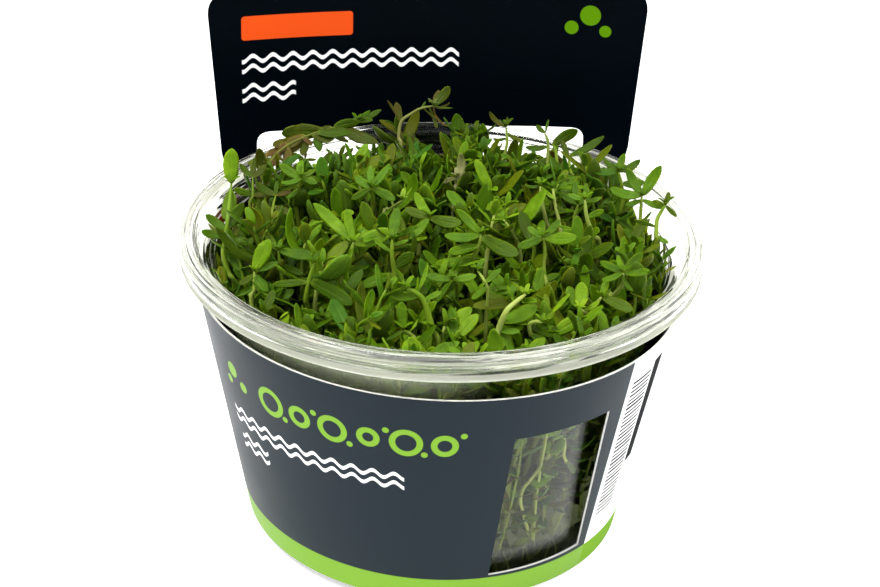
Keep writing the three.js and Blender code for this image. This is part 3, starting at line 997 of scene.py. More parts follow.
def keep_inside(points, reach):
    """Presses what would pass through the cup's wall against it.

    Over the rim the leaves may reach further, but at the front they stay within the mouth.
    """
    x, y, z = points.T
    radius = np.hypot(x, y)
    wall = CUP_FOOT_RADIUS + CUP_TAPER * z - CUP_WALL - GAP
    mouth = MOUTH_RADIUS - CUP_WALL - 1.0
    reach = np.minimum(reach, np.interp(y, (-24, -8), (FRONT_REACH, 60)))
    level = np.interp(z, (CUP_SHOULDER, CUP_SHOULDER + 2.4, 61.5, 63.5), (0.0, 1.0, 1.0, 2.0))
    low = wall + level * (mouth - wall)
    limit = np.where(level <= 1, low, mouth + (level - 1) * (reach - mouth))
    room = 1.2
    start = limit - room
    pressed = start + room * (1 - np.exp(-np.maximum(radius - start, 0) / room))
    scale = np.where(radius > start, pressed / np.maximum(radius, 1e-6), 1.0)
    return np.stack([x * scale, y * scale, np.maximum(z, CUP_FLOOR + 0.5)], 1)


def growth_piece(name, growth, materials):
    points = keep_inside(np.concatenate(growth.points), np.array(growth.reach))
    mesh = bpy.data.meshes.new(name)
    mesh.from_pydata((points * MM).tolist(), [], growth.faces)
    for material in materials:
        mesh.materials.append(material)
    mesh.polygons.foreach_set("material_index", growth.slots)
    mesh.polygons.foreach_set("use_smooth", [True] * len(mesh.polygons))
    corners = np.empty(len(mesh.loops), np.int32)
    mesh.loops.foreach_get("vertex_index", corners)
    uv = mesh.uv_layers.new(name="leaf")
    uv.data.foreach_set("uv", np.concatenate(growth.uv)[corners].astype(np.float32).ravel())
    tint = mesh.color_attributes.new("tint", "FLOAT_COLOR", "POINT")
    tint.data.foreach_set("color", np.concatenate(growth.tint).astype(np.float32).ravel())
    mesh.update()
    return link(bpy.data.objects.new(name, mesh))


def grown_course(foot, tip, lean, sway, steps=16):
    """A stem's course: it leaves the gel upright, wanders by sway and arrives at the tip along lean."""
    rise = tip[2] - foot[2]
    knee = foot + np.array([sway[0], sway[1], 0.45 * rise])
    neck = tip - lean * 0.28 * rise
    share = np.linspace(0, 1, steps)[:, None]
    rest = 1 - share
    return rest**3 * foot + 3 * rest**2 * share * knee + 3 * rest * share**2 * neck + share**3 * tip


def course_through(points, steps):
    """A smooth course through points set by hand."""
    points = np.array(points, float)
    ends = np.concatenate([[2 * points[0] - points[1]], points, [2 * points[-1] - points[-2]]])
    course = []
    for place in np.linspace(0, len(points) - 1, steps):
        i = min(int(place), len(points) - 2)
        t = place - i
        before, start, end, after = ends[i : i + 4]
        straight = 2 * start + (end - before) * t
        bend = (2 * before - 5 * start + 4 * end - after) * t * t
        course.append(0.5 * (straight + bend + (3 * start - before - 3 * end + after) * t**3))
    return np.array(course)


# From a shoot's tip downwards: the spacing of the leaf pairs, their length as a share of a full leaf, and
# how far they stand off the stem, in degrees
SPACING = (0.4, 1.2, 2.3, 3.1, 3.7, 4.2, 4.8, 5.4)
LENGTHS = (0.36, 0.66, 0.94, 1.04, 1.04, 1.0, 0.95, 0.88)
ANGLES = (10, 26, 44, 56, 66, 74, 80, 86)
KINDS = ("flat", "arched", "broad", "lance", "slim", "arched", "wavy", "arched", "lance", "lifted")
BARE_FOOT = 3.0


def leaf_stance(rng, tangent, outward, off, spread):
    """The way a leaf points, off the stem by an angle, and its upper side, turned skywards and rolled."""
    direction = math.cos(off) * tangent + math.sin(off) * outward
    direction = unit(direction * (1, 1, 0.75) + (0, 0, 0.05)) if spread else unit(direction)
    upper = unit(math.sin(off) * tangent - math.cos(off) * outward)
    sky = np.array([0, 0, 1]) - direction[2] * direction
    upper = unit(upper + 0.9 * sky)
    roll = rng.uniform(-0.45, 0.45)
    return direction, math.cos(roll) * upper + math.sin(roll) * np.cross(upper, direction)


def grow_shoot(growth, forms, rng, course, size, age, thick, pairs):
    """The stem along its course and its crossed pairs of leaves, from the tip down to the bare foot."""
    lengths = np.concatenate([[0], np.cumsum(np.linalg.norm(np.diff(course, axis=0), axis=1))])
    total = lengths[-1]
    radii = thick * np.interp(lengths / total, (0, 0.3, 0.85, 1), (1.05, 1.0, 0.82, 0.42))
    growth.stem(course, radii, (age, rng.random(), 0.0))

    def point(distance):
        return np.array([np.interp(distance, lengths, course[:, k]) for k in range(3)])

    heading = rng.uniform(0, math.tau)
    distance = total
    for pair in range(pairs):
        stage = min(pair, len(SPACING) - 1)
        distance -= SPACING[stage] * rng.uniform(0.75, 1.25) * size / 7
        if distance < BARE_FOOT:
            break
        place = point(distance)
        tangent = unit(point(min(distance + 0.8, total)) - point(distance - 0.8))
        first = unit(np.cross(tangent, (0.31, 0.95, 0.1)))
        second = np.cross(tangent, first)
        heading += math.pi / 2 + rng.uniform(-0.3, 0.3)
        for half in (0, math.pi):
            if pair > 4 and rng.random() < 0.15:
                continue
            turn = heading + half + rng.uniform(-0.15, 0.15)
            outward = math.cos(turn) * first + math.sin(turn) * second
            off = math.radians(ANGLES[stage] + rng.uniform(-13, 13))
            direction, upper = leaf_stance(rng, tangent, outward, off, pair > 1)
            kind = ("bud", "lifted")[pair] if pair < 2 else rng.choice(KINDS)
            old = age + 0.045 * pair + rng.uniform(-0.08, 0.08)
            tint = (min(max(old, 0.0), 1.0), rng.random(), 0.0)
            length = size * LENGTHS[stage] * rng.uniform(0.84, 1.14)
            base = place + outward * thick * 0.5
            growth.leaf(forms[kind], base, direction, upper, length, rng.uniform(0.85, 1.15), tint)


def add_roots(growth, rng, foot):
    for _ in range(2):
        turn = rng.uniform(0, math.tau)
        reach = rng.uniform(1.5, 4.5)
        end = foot + np.array([reach * math.cos(turn), reach * math.sin(turn), -rng.uniform(3.5, 7.5)])
        path = course_through([foot, (foot + end) / 2 + (0.5, 0.4, 0), end], 6)
        growth.stem(path, np.linspace(0.22, 0.1, 6), (0, 0.5, 0.75), 5)


# The camera's place in millimetres, the way it looks and its roll in degrees
CAMERA_PLACE = (-30.470, -348.279, 238.641)
CAMERA_VIEW = (0.076556, 0.873929, -0.479987)
CAMERA_ROLL = 1.999
CAMERA_LENS = 83.018
SENSOR_WIDTH = 36
VIEW_WIDTH = 880
VIEW_HEIGHT = 587
NEAREST, FARTHEST = 250, 520  # millimetres from the camera between which the cup's wall is met

# Shoots posed one by one. Their points were chosen in the camera's view, as pixels across and down a
# view of VIEW_WIDTH by VIEW_HEIGHT, and place_shoot works out where they are. The rule of a spot says what its
# value is, in millimetres: its height, its place towards the back or its gap from the cup's wall. A course runs
# from the gel's side to the tip. A leaf has its place along the course, counted in spots, then its tip, which
# is farther off than its foot by the given millimetres.
Spot = namedtuple("Spot", "across down rule value")
Leaf = namedtuple("Leaf", "place across down farther form breadth age")
Shoot = namedtuple("Shoot", "name course thick age dry leaves")
POSED_SHOOTS = (
    Shoot("left_edge", [
        Spot(236, 290, "height", 52), Spot(230, 272, "height", 55), Spot(224, 254, "height", 58.5),
        Spot(226, 236, "height", 61.5), Spot(229, 214, "height", 65), Spot(231, 184, "back", 8),
    ], 0.58, 0.35, 0, [
        Leaf(5, 229, 147, -1, "flat", 1.5, 0.06), Leaf(4.9, 229, 218, -1, "broad", 1.35, 0.12),
        Leaf(5, 240, 166, 1, "lifted", 0.9, 0.18), Leaf(3.3, 208, 212, 0, "arched", 1, 0.45),
        Leaf(3, 203, 228, -1, "arched", 1.1, 0.4), Leaf(2.4, 246, 236, 1, "flat", 1, 0.45),
        Leaf(3.4, 246, 205, 2, "arched", 1, 0.5),
    ]),
    Shoot("left_front", [
        Spot(253, 305, "height", 54), Spot(254, 290, "height", 57), Spot(255, 272, "height", 60),
    ], 0.55, 0.15, 0, [
        Leaf(2, 264, 239, -1, "flat", 1.15, 0.04), Leaf(2, 278, 262, 1, "flat", 1, 0.3),
        Leaf(1.8, 240, 284, -1, "broad", 1.2, 0.42), Leaf(1.8, 270, 286, -1, "broad", 1.2, 0.42),
        Leaf(1.2, 235, 299, 0, "flat", 1, 0.3),
    ]),
    Shoot("left_wide", [
        Spot(287, 300, "height", 54), Spot(282, 272, "height", 58), Spot(278, 251, "height", 62),
    ], 0.55, 0.3, 0, [
        Leaf(2, 319, 256, 0, "flat", 1.1, 0.28), Leaf(2, 266, 235, 1, "lifted", 1, 0.22),
        Leaf(1.3, 303, 274, 0, "arched", 1, 0.45), Leaf(2, 300, 232, 3, "flat", 0.9, 0.35),
    ]),
    Shoot("brown_tip", [
        Spot(307, 312, "height", 53), Spot(307, 300, "height", 56), Spot(309, 283, "height", 60),
        Spot(314, 263, "height", 64),
    ], 0.58, 0.5, 0, [
        Leaf(2, 272, 281, 0, "slim", 0.9, 0.34), Leaf(2.1, 353, 305, -1, "broad", 1, 0.36),
        Leaf(2.2, 293, 279, 2, "broad", 1, 0.45), Leaf(2.2, 329, 272, 2, "broad", 1, 0.42),
    ]),
    Shoot("low_left", [
        Spot(330, 330, "height", 52), Spot(322, 318, "height", 55),
    ], 0.55, 0.35, 0, [
        Leaf(1, 300, 313, 0, "flat", 1.1, 0.42), Leaf(1, 345, 331, -1, "broad", 1, 0.34),
        Leaf(0.6, 305, 334, -1, "broad", 1, 0.45),
    ]),
    Shoot("y_shoot", [
        Spot(342, 290, "height", 55), Spot(342, 268, "height", 59.5), Spot(350, 252, "height", 63),
        Spot(353, 242, "height", 65),
    ], 0.6, 0.15, 0, [
        Leaf(3, 346, 209, 1, "flat", 0.95, 0.04), Leaf(2.9, 394, 231, 0, "arched", 1.15, 0.12),
        Leaf(2.6, 341, 268, -1, "flat", 1.1, 0.1), Leaf(1, 378, 272, 0, "arched", 1, 0.25),
        Leaf(3, 318, 196, 4, "slim", 0.9, 0.15),
    ]),
    Shoot("leaf_fan", [
        Spot(395, 300, "height", 55), Spot(393, 275, "height", 60), Spot(391, 255, "height", 64),
        Spot(392, 240, "height", 67),
    ], 0.62, 0.3, 0, [
        Leaf(1.4, 414, 253, 0, "broad", 1.2, 0.5), Leaf(2.2, 372, 236, 1, "slim", 0.9, 0.25),
        Leaf(3, 397, 206, 3, "flat", 1, 0.2), Leaf(1, 360, 286, 0, "arched", 1, 0.25),
        Leaf(2.6, 412, 243, 1, "slim", 0.9, 0.3),
    ]),
    Shoot("thick_arc", [
        Spot(438, 349, "height", 52), Spot(433, 330, "height", 55), Spot(424, 303, "height", 60),
        Spot(416, 293, "height", 62), Spot(407, 288, "height", 63),
    ], 0.74, 0.25, 0, [
        Leaf(3, 429, 262, 1, "slim", 0.7, 0.05), Leaf(3.2, 421, 275, -1, "slim", 0.7, 0.12),
        Leaf(4, 398, 264, 1, "slim", 0.8, 0.2), Leaf(2.2, 440, 291, 0, "flat", 1, 0.22),
        Leaf(2.6, 392, 298, 0, "flat", 1, 0.3),
    ]),
    Shoot("front_arc", [
        Spot(416, 349, "height", 52), Spot(412, 335, "height", 55), Spot(402, 331, "height", 56),
    ], 0.5, 0.2, 0, [
        Leaf(2, 384, 341, -1, "slim", 1, 0.3), Leaf(2, 397, 303, 0, "flat", 1.1, 0.25),
        Leaf(1.4, 420, 318, 1, "slim", 0.8, 0.1),
    ]),
    Shoot("pale_sprout", [
        Spot(383, 219, "height", 60), Spot(390, 209, "height", 62), Spot(402, 200, "height", 65),
    ], 0.4, 0.1, 0.15, [
        Leaf(2, 404, 184, 1, "slim", 0.55, 0), Leaf(2, 413, 190, 0, "slim", 0.5, 0),
        Leaf(1.2, 372, 224, -1, "slim", 0.8, 0.25),
    ]),
    Shoot("mid_leaf", [
        Spot(449, 232, "height", 56), Spot(440, 222, "height", 60), Spot(430, 218, "height", 64),
    ], 0.55, 0.3, 0, [
        Leaf(2, 462, 226, -1, "arched", 1.15, 0.22), Leaf(2, 402, 211, 1, "flat", 1.1, 0.28),
        Leaf(2, 418, 193, 3, "flat", 1, 0.15), Leaf(2, 407, 237, -1, "broad", 0.9, 0.25),
    ]),
    Shoot("right_y", [
        Spot(472, 285, "height", 52), Spot(473, 262, "height", 58), Spot(480, 243, "height", 63),
        Spot(481, 234, "height", 65),
    ], 0.6, 0.18, 0, [
        Leaf(3, 457, 211, 2, "arched", 0.75, 0.2), Leaf(2.8, 518, 256, -1, "arched", 1.05, 0.25),
        Leaf(2.9, 444, 234, 1, "flat", 1, 0.3), Leaf(1.9, 448, 251, 0, "broad", 1.1, 0.22),
        Leaf(1.2, 438, 263, -1, "arched", 0.8, 0.2),
    ]),
    Shoot("twin_front", [
        Spot(455, 356, "height", 50), Spot(455, 349, "height", 51.5), Spot(456, 341, "height", 53.5),
    ], 0.45, 0.05, 0, [
        Leaf(2, 479, 313, 0, "flat", 1.2, 0.05), Leaf(2, 452, 308, 1, "flat", 1.1, 0.35),
    ]),
    Shoot("pale_curve", [
        Spot(496, 347, "height", 52), Spot(498, 328, "height", 56), Spot(505, 312, "height", 60),
        Spot(514, 303, "height", 61.5), Spot(525, 294, "height", 63),
    ], 0.68, -0.05, 0, [
        Leaf(4, 513, 283, 1, "slim", 0.8, 0), Leaf(3, 509, 287, 0, "slim", 0.8, 0.02),
        Leaf(1.3, 538, 306, 0, "broad", 1.1, 0.18), Leaf(0.8, 522, 331, -1, "flat", 1, 0.25),
    ]),
    Shoot("light_curl", [
        Spot(485, 345, "height", 50), Spot(486, 318, "height", 56), Spot(488, 292, "height", 62),
        Spot(483, 279, "height", 65), Spot(477, 271, "height", 66),
    ], 0.42, 0.12, 0, [
        Leaf(2.3, 472, 297, -1, "broad", 0.9, 0.28), Leaf(2.6, 498, 266, 1, "flat", 1, 0.25),
        Leaf(2, 517, 286, 1, "broad", 1.1, 0.2),
    ]),
    Shoot("fold_pair", [
        Spot(456, 297, "height", 54), Spot(455, 282, "height", 59), Spot(452, 280, "height", 61),
    ], 0.5, 0.3, 0, [
        Leaf(2, 428, 276, 0, "flat", 1.1, 0.28), Leaf(2, 476, 276, 0, "broad", 1, 0.22),
        Leaf(2, 435, 303, -1, "slim", 0.9, 0.25),
    ]),
    Shoot("low_curl", [
        Spot(533, 345, "height", 50), Spot(530, 335, "height", 54), Spot(529, 325, "height", 57),
        Spot(536, 321, "height", 58.5), Spot(541, 323, "height", 58.5),
    ], 0.5, 0.08, 0, [
        Leaf(4, 552, 312, 0, "bud", 0.9, 0.1), Leaf(2, 514, 321, 0, "slim", 0.8, 0.1),
        Leaf(1, 548, 343, -1, "flat", 1.1, 0.2),
    ]),
    Shoot("front_leaf", [
        Spot(560, 340, "height", 50), Spot(552, 334, "height", 54),
    ], 0.5, 0.2, 0, [
        Leaf(1, 582, 321, 0, "broad", 1.2, 0.14), Leaf(1, 536, 318, 1, "flat", 1.1, 0.2),
        Leaf(1, 572, 345, -1, "flat", 1, 0.25),
    ]),
    Shoot("yellow_leaf", [
        Spot(588, 325, "height", 51), Spot(588, 315, "height", 54), Spot(580, 309, "height", 57),
    ], 0.7, -0.1, 0, [
        Leaf(2, 584, 283, 0, "broad", 1.2, -0.12), Leaf(2, 568, 286, 1, "flat", 1.2, 0.22),
        Leaf(1.6, 598, 300, -1, "broad", 0.8, -0.12),
    ]),
    Shoot("yellow_stem", [
        Spot(592, 325, "height", 51), Spot(594, 310, "height", 55), Spot(601, 297, "height", 59),
    ], 0.6, -0.1, 0, [
        Leaf(2, 633, 309, -1, "flat", 1.1, 0.26), Leaf(2, 606, 276, 1, "flat", 1.3, 0.15),
        Leaf(2, 612, 287, 2, "slim", 0.9, 0.15),
    ]),
    Shoot("star_right", [
        Spot(606, 300, "height", 52), Spot(614, 296, "height", 55), Spot(622, 283, "height", 60),
        Spot(623, 273, "height", 63),
    ], 0.62, 0.1, 0, [
        Leaf(3, 600, 261, 1, "arched", 1, 0.22), Leaf(3, 648, 272, 0, "arched", 1, 0.3),
        Leaf(3, 617, 253, 3, "flat", 0.9, 0.2), Leaf(3, 642, 254, 2, "flat", 0.95, 0.28),
        Leaf(3, 600, 281, -1, "arched", 1, 0.3), Leaf(2.9, 634, 293, -1, "arched", 1, 0.35),
    ]),
    Shoot("oval_leaf", [
        Spot(546, 300, "height", 54), Spot(545, 270, "height", 59), Spot(545, 250, "height", 63),
        Spot(543, 238, "height", 66),
    ], 0.5, 0.2, 0, [
        Leaf(1.2, 536, 293, -1, "broad", 1.25, 0.16), Leaf(3, 578, 239, 1, "flat", 1.15, 0.16),
        Leaf(3, 518, 248, 0, "broad", 1.1, 0.32), Leaf(3, 556, 221, 3, "flat", 1, 0.25),
        Leaf(3, 529, 226, 2, "flat", 0.9, 0.3),
    ]),
    Shoot("olive_face", [
        Spot(533, 262, "height", 56), Spot(535, 245, "height", 60),
    ], 0.5, 0.5, 0, [
        Leaf(1, 521, 212, 1, "broad", 1.25, 0.62), Leaf(1, 546, 220, 2, "broad", 1.1, 0.25),
    ]),
    Shoot("pale_pair", [
        Spot(548, 240, "height", 56), Spot(547, 222, "height", 60), Spot(543, 203, "height", 64),
        Spot(541, 186, "height", 67.5),
    ], 0.62, -0.05, 0, [
        Leaf(3, 553, 200, -1, "slim", 0.9, 0.1), Leaf(3, 525, 184, 0, "arched", 0.9, 0.45),
        Leaf(1.6, 528, 213, 0, "flat", 1, 0.3),
    ]),
    Shoot("pale_third", [
        Spot(560, 245, "height", 56), Spot(559, 225, "height", 60), Spot(556, 205, "height", 64),
        Spot(553, 189, "height", 67),
    ], 0.5, -0.05, 0, [
        Leaf(3, 540, 184, 0, "slim", 0.8, 0.3), Leaf(2, 569, 212, 0, "broad", 0.9, 0.6),
        Leaf(1.6, 546, 214, 0, "broad", 1, 0.6),
    ]),
    Shoot("node_stem", [
        Spot(598, 250, "height", 56), Spot(592, 236, "height", 60), Spot(586, 217, "height", 64),
        Spot(584, 200, "height", 67.5),
    ], 0.62, 0.1, 0, [
        Leaf(2, 605, 209, 0, "flat", 1.1, 0.2), Leaf(3, 567, 195, 1, "flat", 1, 0.25),
        Leaf(3, 601, 199, 1, "flat", 0.9, 0.22), Leaf(3, 583, 182, 1, "flat", 0.8, 0.3),
        Leaf(1, 559, 222, 2, "slim", 0.5, 0.1),
    ]),
    Shoot("node_stem2", [
        Spot(576, 240, "height", 56), Spot(575, 222, "height", 60), Spot(577, 205, "height", 64),
    ], 0.5, 0.2, 0, [
        Leaf(2, 559, 194, 1, "flat", 1, 0.3), Leaf(2, 592, 193, 1, "flat", 1, 0.25),
        Leaf(2, 573, 180, 3, "flat", 0.9, 0.3),
    ]),
    Shoot("right_bright", [
        Spot(640, 240, "height", 56), Spot(641, 218, "height", 60), Spot(641, 197, "back", 8),
    ], 0.55, 0.2, 0, [
        Leaf(2, 662, 166, 0, "arched", 1, 0.22), Leaf(2, 612, 189, 0, "arched", 1.1, 0.34),
        Leaf(1.9, 662, 207, -1, "flat", 0.95, 0.3), Leaf(1.8, 624, 207, 0, "flat", 1, 0.35),
        Leaf(2, 629, 168, 2, "flat", 1, 0.38),
    ]),
    Shoot("right_small", [
        Spot(654, 250, "height", 58), Spot(656, 235, "height", 61), Spot(658, 220, "back", 3),
        Spot(664, 206, "back", 4),
    ], 0.62, 0.3, 0, [
        Leaf(3, 677, 214, 0, "flat", 1, 0.45), Leaf(3, 668, 192, 1, "bud", 1.1, 0.45),
        Leaf(3, 652, 201, 1, "flat", 0.9, 0.4), Leaf(1.5, 636, 219, 0, "slim", 0.9, 0.5),
        Leaf(1, 668, 243, -1, "broad", 0.9, 0.35),
    ]),
    Shoot("right_back", [
        Spot(622, 210, "height", 58), Spot(622, 190, "height", 62), Spot(618, 172, "back", 16),
    ], 0.55, 0.45, 0, [
        Leaf(2, 589, 166, 0, "flat", 1.1, 0.45), Leaf(2, 643, 160, 1, "arched", 0.9, 0.55),
        Leaf(2, 604, 156, 2, "flat", 1, 0.4), Leaf(2, 626, 152, 2, "flat", 1, 0.3),
        Leaf(1.3, 645, 183, -1, "broad", 1, 0.5),
    ]),
    Shoot("cutout_a", [
        Spot(497, 190, "back", 27), Spot(502, 165, "back", 31), Spot(508, 145, "back", 35),
        Spot(505, 128, "back", 38),
    ], 0.45, 0.6, 0, [
        Leaf(3, 489, 114, 0, "hooked", 0.9, 0.7), Leaf(3, 507, 116, 1, "hooked", 0.9, 0.65),
        Leaf(2.6, 520, 140, 0, "arched", 0.8, 0.55), Leaf(2.4, 494, 140, 0, "arched", 0.8, 0.6),
        Leaf(1.6, 482, 156, 0, "flat", 1, 0.45),
    ]),
    Shoot("cutout_b", [
        Spot(546, 190, "back", 25), Spot(548, 165, "back", 30), Spot(547, 145, "back", 34),
        Spot(545, 134, "back", 36),
    ], 0.45, 0.7, 0, [
        Leaf(3, 538, 124, 0, "broad", 1.2, 0.75), Leaf(3, 549, 119, 1, "slim", 0.9, 0.6),
        Leaf(1.9, 526, 146, 0, "arched", 1, 0.6), Leaf(1.7, 570, 172, 0, "hooked", 1, 0.8),
        Leaf(1.3, 530, 172, 0, "flat", 1, 0.5),
    ]),
    Shoot("cutout_c", [
        Spot(556, 195, "back", 24), Spot(558, 170, "back", 29), Spot(555, 150, "back", 33),
        Spot(553, 143, "back", 35),
    ], 0.45, 0.6, 0, [
        Leaf(3, 578, 128, 0, "arched", 1.1, 0.5), Leaf(1.6, 578, 178, 0, "curled", 1.1, 0.85),
        Leaf(1.4, 545, 178, 0, "flat", 1, 0.6),
    ]),
    Shoot("cutout_d", [
        Spot(572, 190, "back", 23), Spot(570, 170, "back", 28), Spot(568, 156, "back", 31),
    ], 0.45, 0.6, 0, [
        Leaf(2, 606, 141, 0, "slim", 1, 0.5), Leaf(2, 560, 141, 1, "flat", 1, 0.65),
        Leaf(1, 590, 176, 0, "broad", 1.1, 0.7),
    ]),
    Shoot("sprig", [
        Spot(262, 190, "back", 22), Spot(268, 165, "back", 27), Spot(284, 148, "back", 32),
        Spot(306, 136, "back", 36), Spot(334, 128, "back", 39), Spot(357, 121, "back", 41),
    ], 0.32, 0.95, 0, [
        Leaf(5, 369, 111, 0, "lance", 1.15, 0.42), Leaf(5, 380, 113, 0, "slim", 1, 0.5),
        Leaf(5, 373, 122, -1, "bud", 0.9, 0.4), Leaf(4, 361, 121, -1, "lance", 1.15, 0.62),
        Leaf(4.9, 341, 127, -1, "arched", 1.02, 0.6), Leaf(3.3, 352, 133, -2, "wavy", 1.02, 0.68),
        Leaf(4, 307, 131, -1, "lance", 1.28, 0.72), Leaf(3.6, 281, 138, -1, "wavy", 1.09, 0.78),
        Leaf(3, 270, 141, -2, "arched", 1.15, 0.74), Leaf(3, 279, 153, -1, "wavy", 1.09, 0.78),
        Leaf(3, 299, 153, -2, "arched", 1.02, 0.72), Leaf(2.4, 262, 157, -1, "lance", 1.15, 0.97),
        Leaf(3.4, 319, 149, -2, "wavy", 1.02, 0.66), Leaf(3.8, 347, 146, -1, "slim", 1.1, 0.84),
        Leaf(4.2, 383, 138, -1, "lance", 1.15, 0.7), Leaf(3.2, 333, 139, -2, "arched", 1.02, 0.64),
        Leaf(2.8, 313, 143, -2, "lance", 1.15, 0.82), Leaf(4.5, 362, 133, -1, "arched", 0.9, 0.66),
        Leaf(2.2, 291, 168, -1, "wavy", 1.02, 0.88), Leaf(2, 262, 170, -1, "arched", 1.15, 0.92),
        Leaf(1.6, 284, 161, 0, "lance", 1.15, 0.8), Leaf(1.4, 247, 161, 0, "arched", 1.15, 0.7),
    ]),
    Shoot("sprig_twin", [
        Spot(340, 182, "back", 26), Spot(338, 168, "back", 30), Spot(340, 160, "back", 33),
    ], 0.38, 0.5, 0, [
        Leaf(2, 325, 151, -1, "lance", 0.9, 0.46), Leaf(2, 354, 149, -1, "arched", 0.8, 0.56),
        Leaf(2, 344, 143, 0, "wavy", 0.8, 0.62), Leaf(1, 321, 168, 0, "lance", 0.9, 0.5),
        Leaf(1, 358, 166, 0, "wavy", 0.8, 0.5),
    ]),
    Shoot("sprig_third", [
        Spot(305, 185, "back", 26), Spot(303, 170, "back", 30), Spot(304, 160, "back", 33),
    ], 0.38, 0.55, 0, [
        Leaf(2, 290, 152, -1, "wavy", 0.8, 0.68), Leaf(2, 318, 157, -1, "lance", 0.9, 0.54),
        Leaf(1, 285, 172, 0, "arched", 0.9, 0.66), Leaf(1, 325, 171, 0, "lance", 0.9, 0.5),
        Leaf(2, 305, 149, 0, "slim", 1.1, 0.74),
    ]),
    Shoot("back_left_a", [
        Spot(375, 185, "back", 28), Spot(373, 168, "back", 33), Spot(374, 155, "back", 36),
    ], 0.42, 0.35, 0, [
        Leaf(2, 360, 148, -1, "broad", 1.1, 0.38), Leaf(2, 390, 150, -1, "broad", 1.1, 0.3),
        Leaf(2, 375, 142, 1, "flat", 1, 0.4), Leaf(1, 355, 168, -1, "arched", 1, 0.32),
        Leaf(1, 394, 170, -1, "wavy", 1, 0.35),
    ]),
    Shoot("back_left_b", [
        Spot(412, 180, "back", 30), Spot(411, 165, "back", 34), Spot(411, 152, "back", 37),
    ], 0.42, 0.3, 0, [
        Leaf(2, 397, 150, -1, "broad", 1.1, 0.3), Leaf(2, 428, 147, -1, "lance", 1.1, 0.34),
        Leaf(2, 412, 138, 1, "flat", 1, 0.42), Leaf(1, 396, 168, -1, "flat", 1, 0.28),
        Leaf(1, 430, 166, -1, "broad", 1, 0.3),
    ]),
    Shoot("left_brown", [
        Spot(250, 215, "back", 12), Spot(252, 195, "back", 14), Spot(254, 178, "back", 16),
    ], 0.38, 0.62, 0, [
        Leaf(2, 240, 164, 0, "broad", 1.1, 0.55), Leaf(2, 268, 166, -1, "broad", 1.2, 0.9),
        Leaf(2, 254, 158, 1, "flat", 1, 0.7), Leaf(1, 236, 190, -1, "broad", 1, 0.5),
        Leaf(1, 270, 190, -1, "wavy", 1.1, 0.82),
    ]),
    Shoot("left_brown2", [
        Spot(272, 225, "back", 6), Spot(273, 208, "back", 9), Spot(275, 196, "back", 11),
    ], 0.38, 0.62, 0, [
        Leaf(2, 258, 184, -1, "broad", 1.1, 0.66), Leaf(2, 290, 190, -1, "broad", 1.1, 0.8),
        Leaf(2, 275, 180, 1, "flat", 1, 0.6), Leaf(1, 262, 206, -1, "arched", 1, 0.5),
        Leaf(1, 292, 212, -1, "wavy", 1.1, 0.7),
    ]),
    Shoot("withered", [
        Spot(453, 200, "height", 60), Spot(455, 184, "height", 63), Spot(456, 178, "height", 65),
    ], 0.4, 0.3, 0.9, [
        Leaf(2, 466, 158, 0, "curled", 1.3, 0.3), Leaf(2, 446, 180, -1, "curled", 1.2, 0.3),
    ]),
    Shoot("left_rosette", [
        Spot(296, 205, "height", 60), Spot(298, 190, "height", 64), Spot(301, 178, "height", 67),
    ], 0.5, 0.25, 0, [
        Leaf(2, 281, 166, 1, "flat", 1, 0.25), Leaf(2, 283, 184, -1, "flat", 1, 0.3),
        Leaf(2, 313, 166, 1, "flat", 0.9, 0.22), Leaf(2, 320, 184, -1, "flat", 1, 0.35),
        Leaf(2, 301, 160, 2, "bud", 1.1, 0.2), Leaf(1, 284, 200, -1, "arched", 1, 0.35),
    ]),
    Shoot("centre_rosette", [
        Spot(373, 215, "height", 60), Spot(372, 200, "height", 64), Spot(371, 188, "height", 67),
    ], 0.5, 0.25, 0, [
        Leaf(2, 352, 176, 1, "flat", 1, 0.25), Leaf(2, 394, 196, -1, "flat", 1, 0.22),
        Leaf(2, 386, 166, 1, "flat", 0.9, 0.28), Leaf(2, 350, 198, -1, "flat", 1, 0.3),
        Leaf(2, 370, 166, 2, "flat", 1, 0.25),
    ]),
    Shoot("back_sprig", [
        Spot(401, 152, "back", 34), Spot(398, 138, "back", 36), Spot(402, 122, "back", 37.5),
        Spot(411, 113, "back", 38), Spot(421, 108, "back", 37.5), Spot(434, 106, "back", 36.5),
    ], 0.46, 0.9, 0.2, [
        Leaf(2, 397, 101, 0, "flat", 1.2, 0.7), Leaf(2, 386, 100, -1, "slim", 0.45, 0.8),
        Leaf(1.2, 418, 142, 1, "broad", 1.3, 0.45), Leaf(1.6, 404, 140, 0, "slim", 0.9, 0.75),
        Leaf(5, 450, 87, 0, "flat", 1.1, 0.62), Leaf(5, 437, 91, 1, "flat", 1.1, 0.75),
        Leaf(4, 425, 102, 1, "slim", 0.9, 0.7), Leaf(5, 452, 110, -1, "slim", 0.45, 0.7),
        Leaf(4.2, 443, 124, -1, "slim", 0.35, 0.8), Leaf(4.6, 434, 128, -1, "curled", 0.5, 0.9),
        Leaf(5, 445, 127, 0, "curled", 0.5, 0.9), Leaf(5, 449, 104, 1, "curled", 0.7, 0.8),
    ]),
    # The window shoots have mostly young ages, and window_leaf and window_low a dryness that paints their
    # leaves pale: partly the leaves' own pallor, partly painted light that makes up for the sleeve's shade over
    # them.
    Shoot("window_curl", [
        Spot(528, 534, "wall", 2.5), Spot(524, 515, "wall", 2), Spot(521, 500, "wall", 2),
        Spot(524, 488, "wall", 2.5), Spot(530, 480, "wall", 2.2), Spot(538, 468, "wall", 2),
        Spot(545, 457, "wall", 2), Spot(551, 452, "wall", 2.5),
    ], 0.42, 0.05, 0.25, [
        Leaf(6.6, 561, 438, -1, "broad", 1.4, 0.2), Leaf(6.4, 543, 437, -1, "broad", 1.2, 0.1),
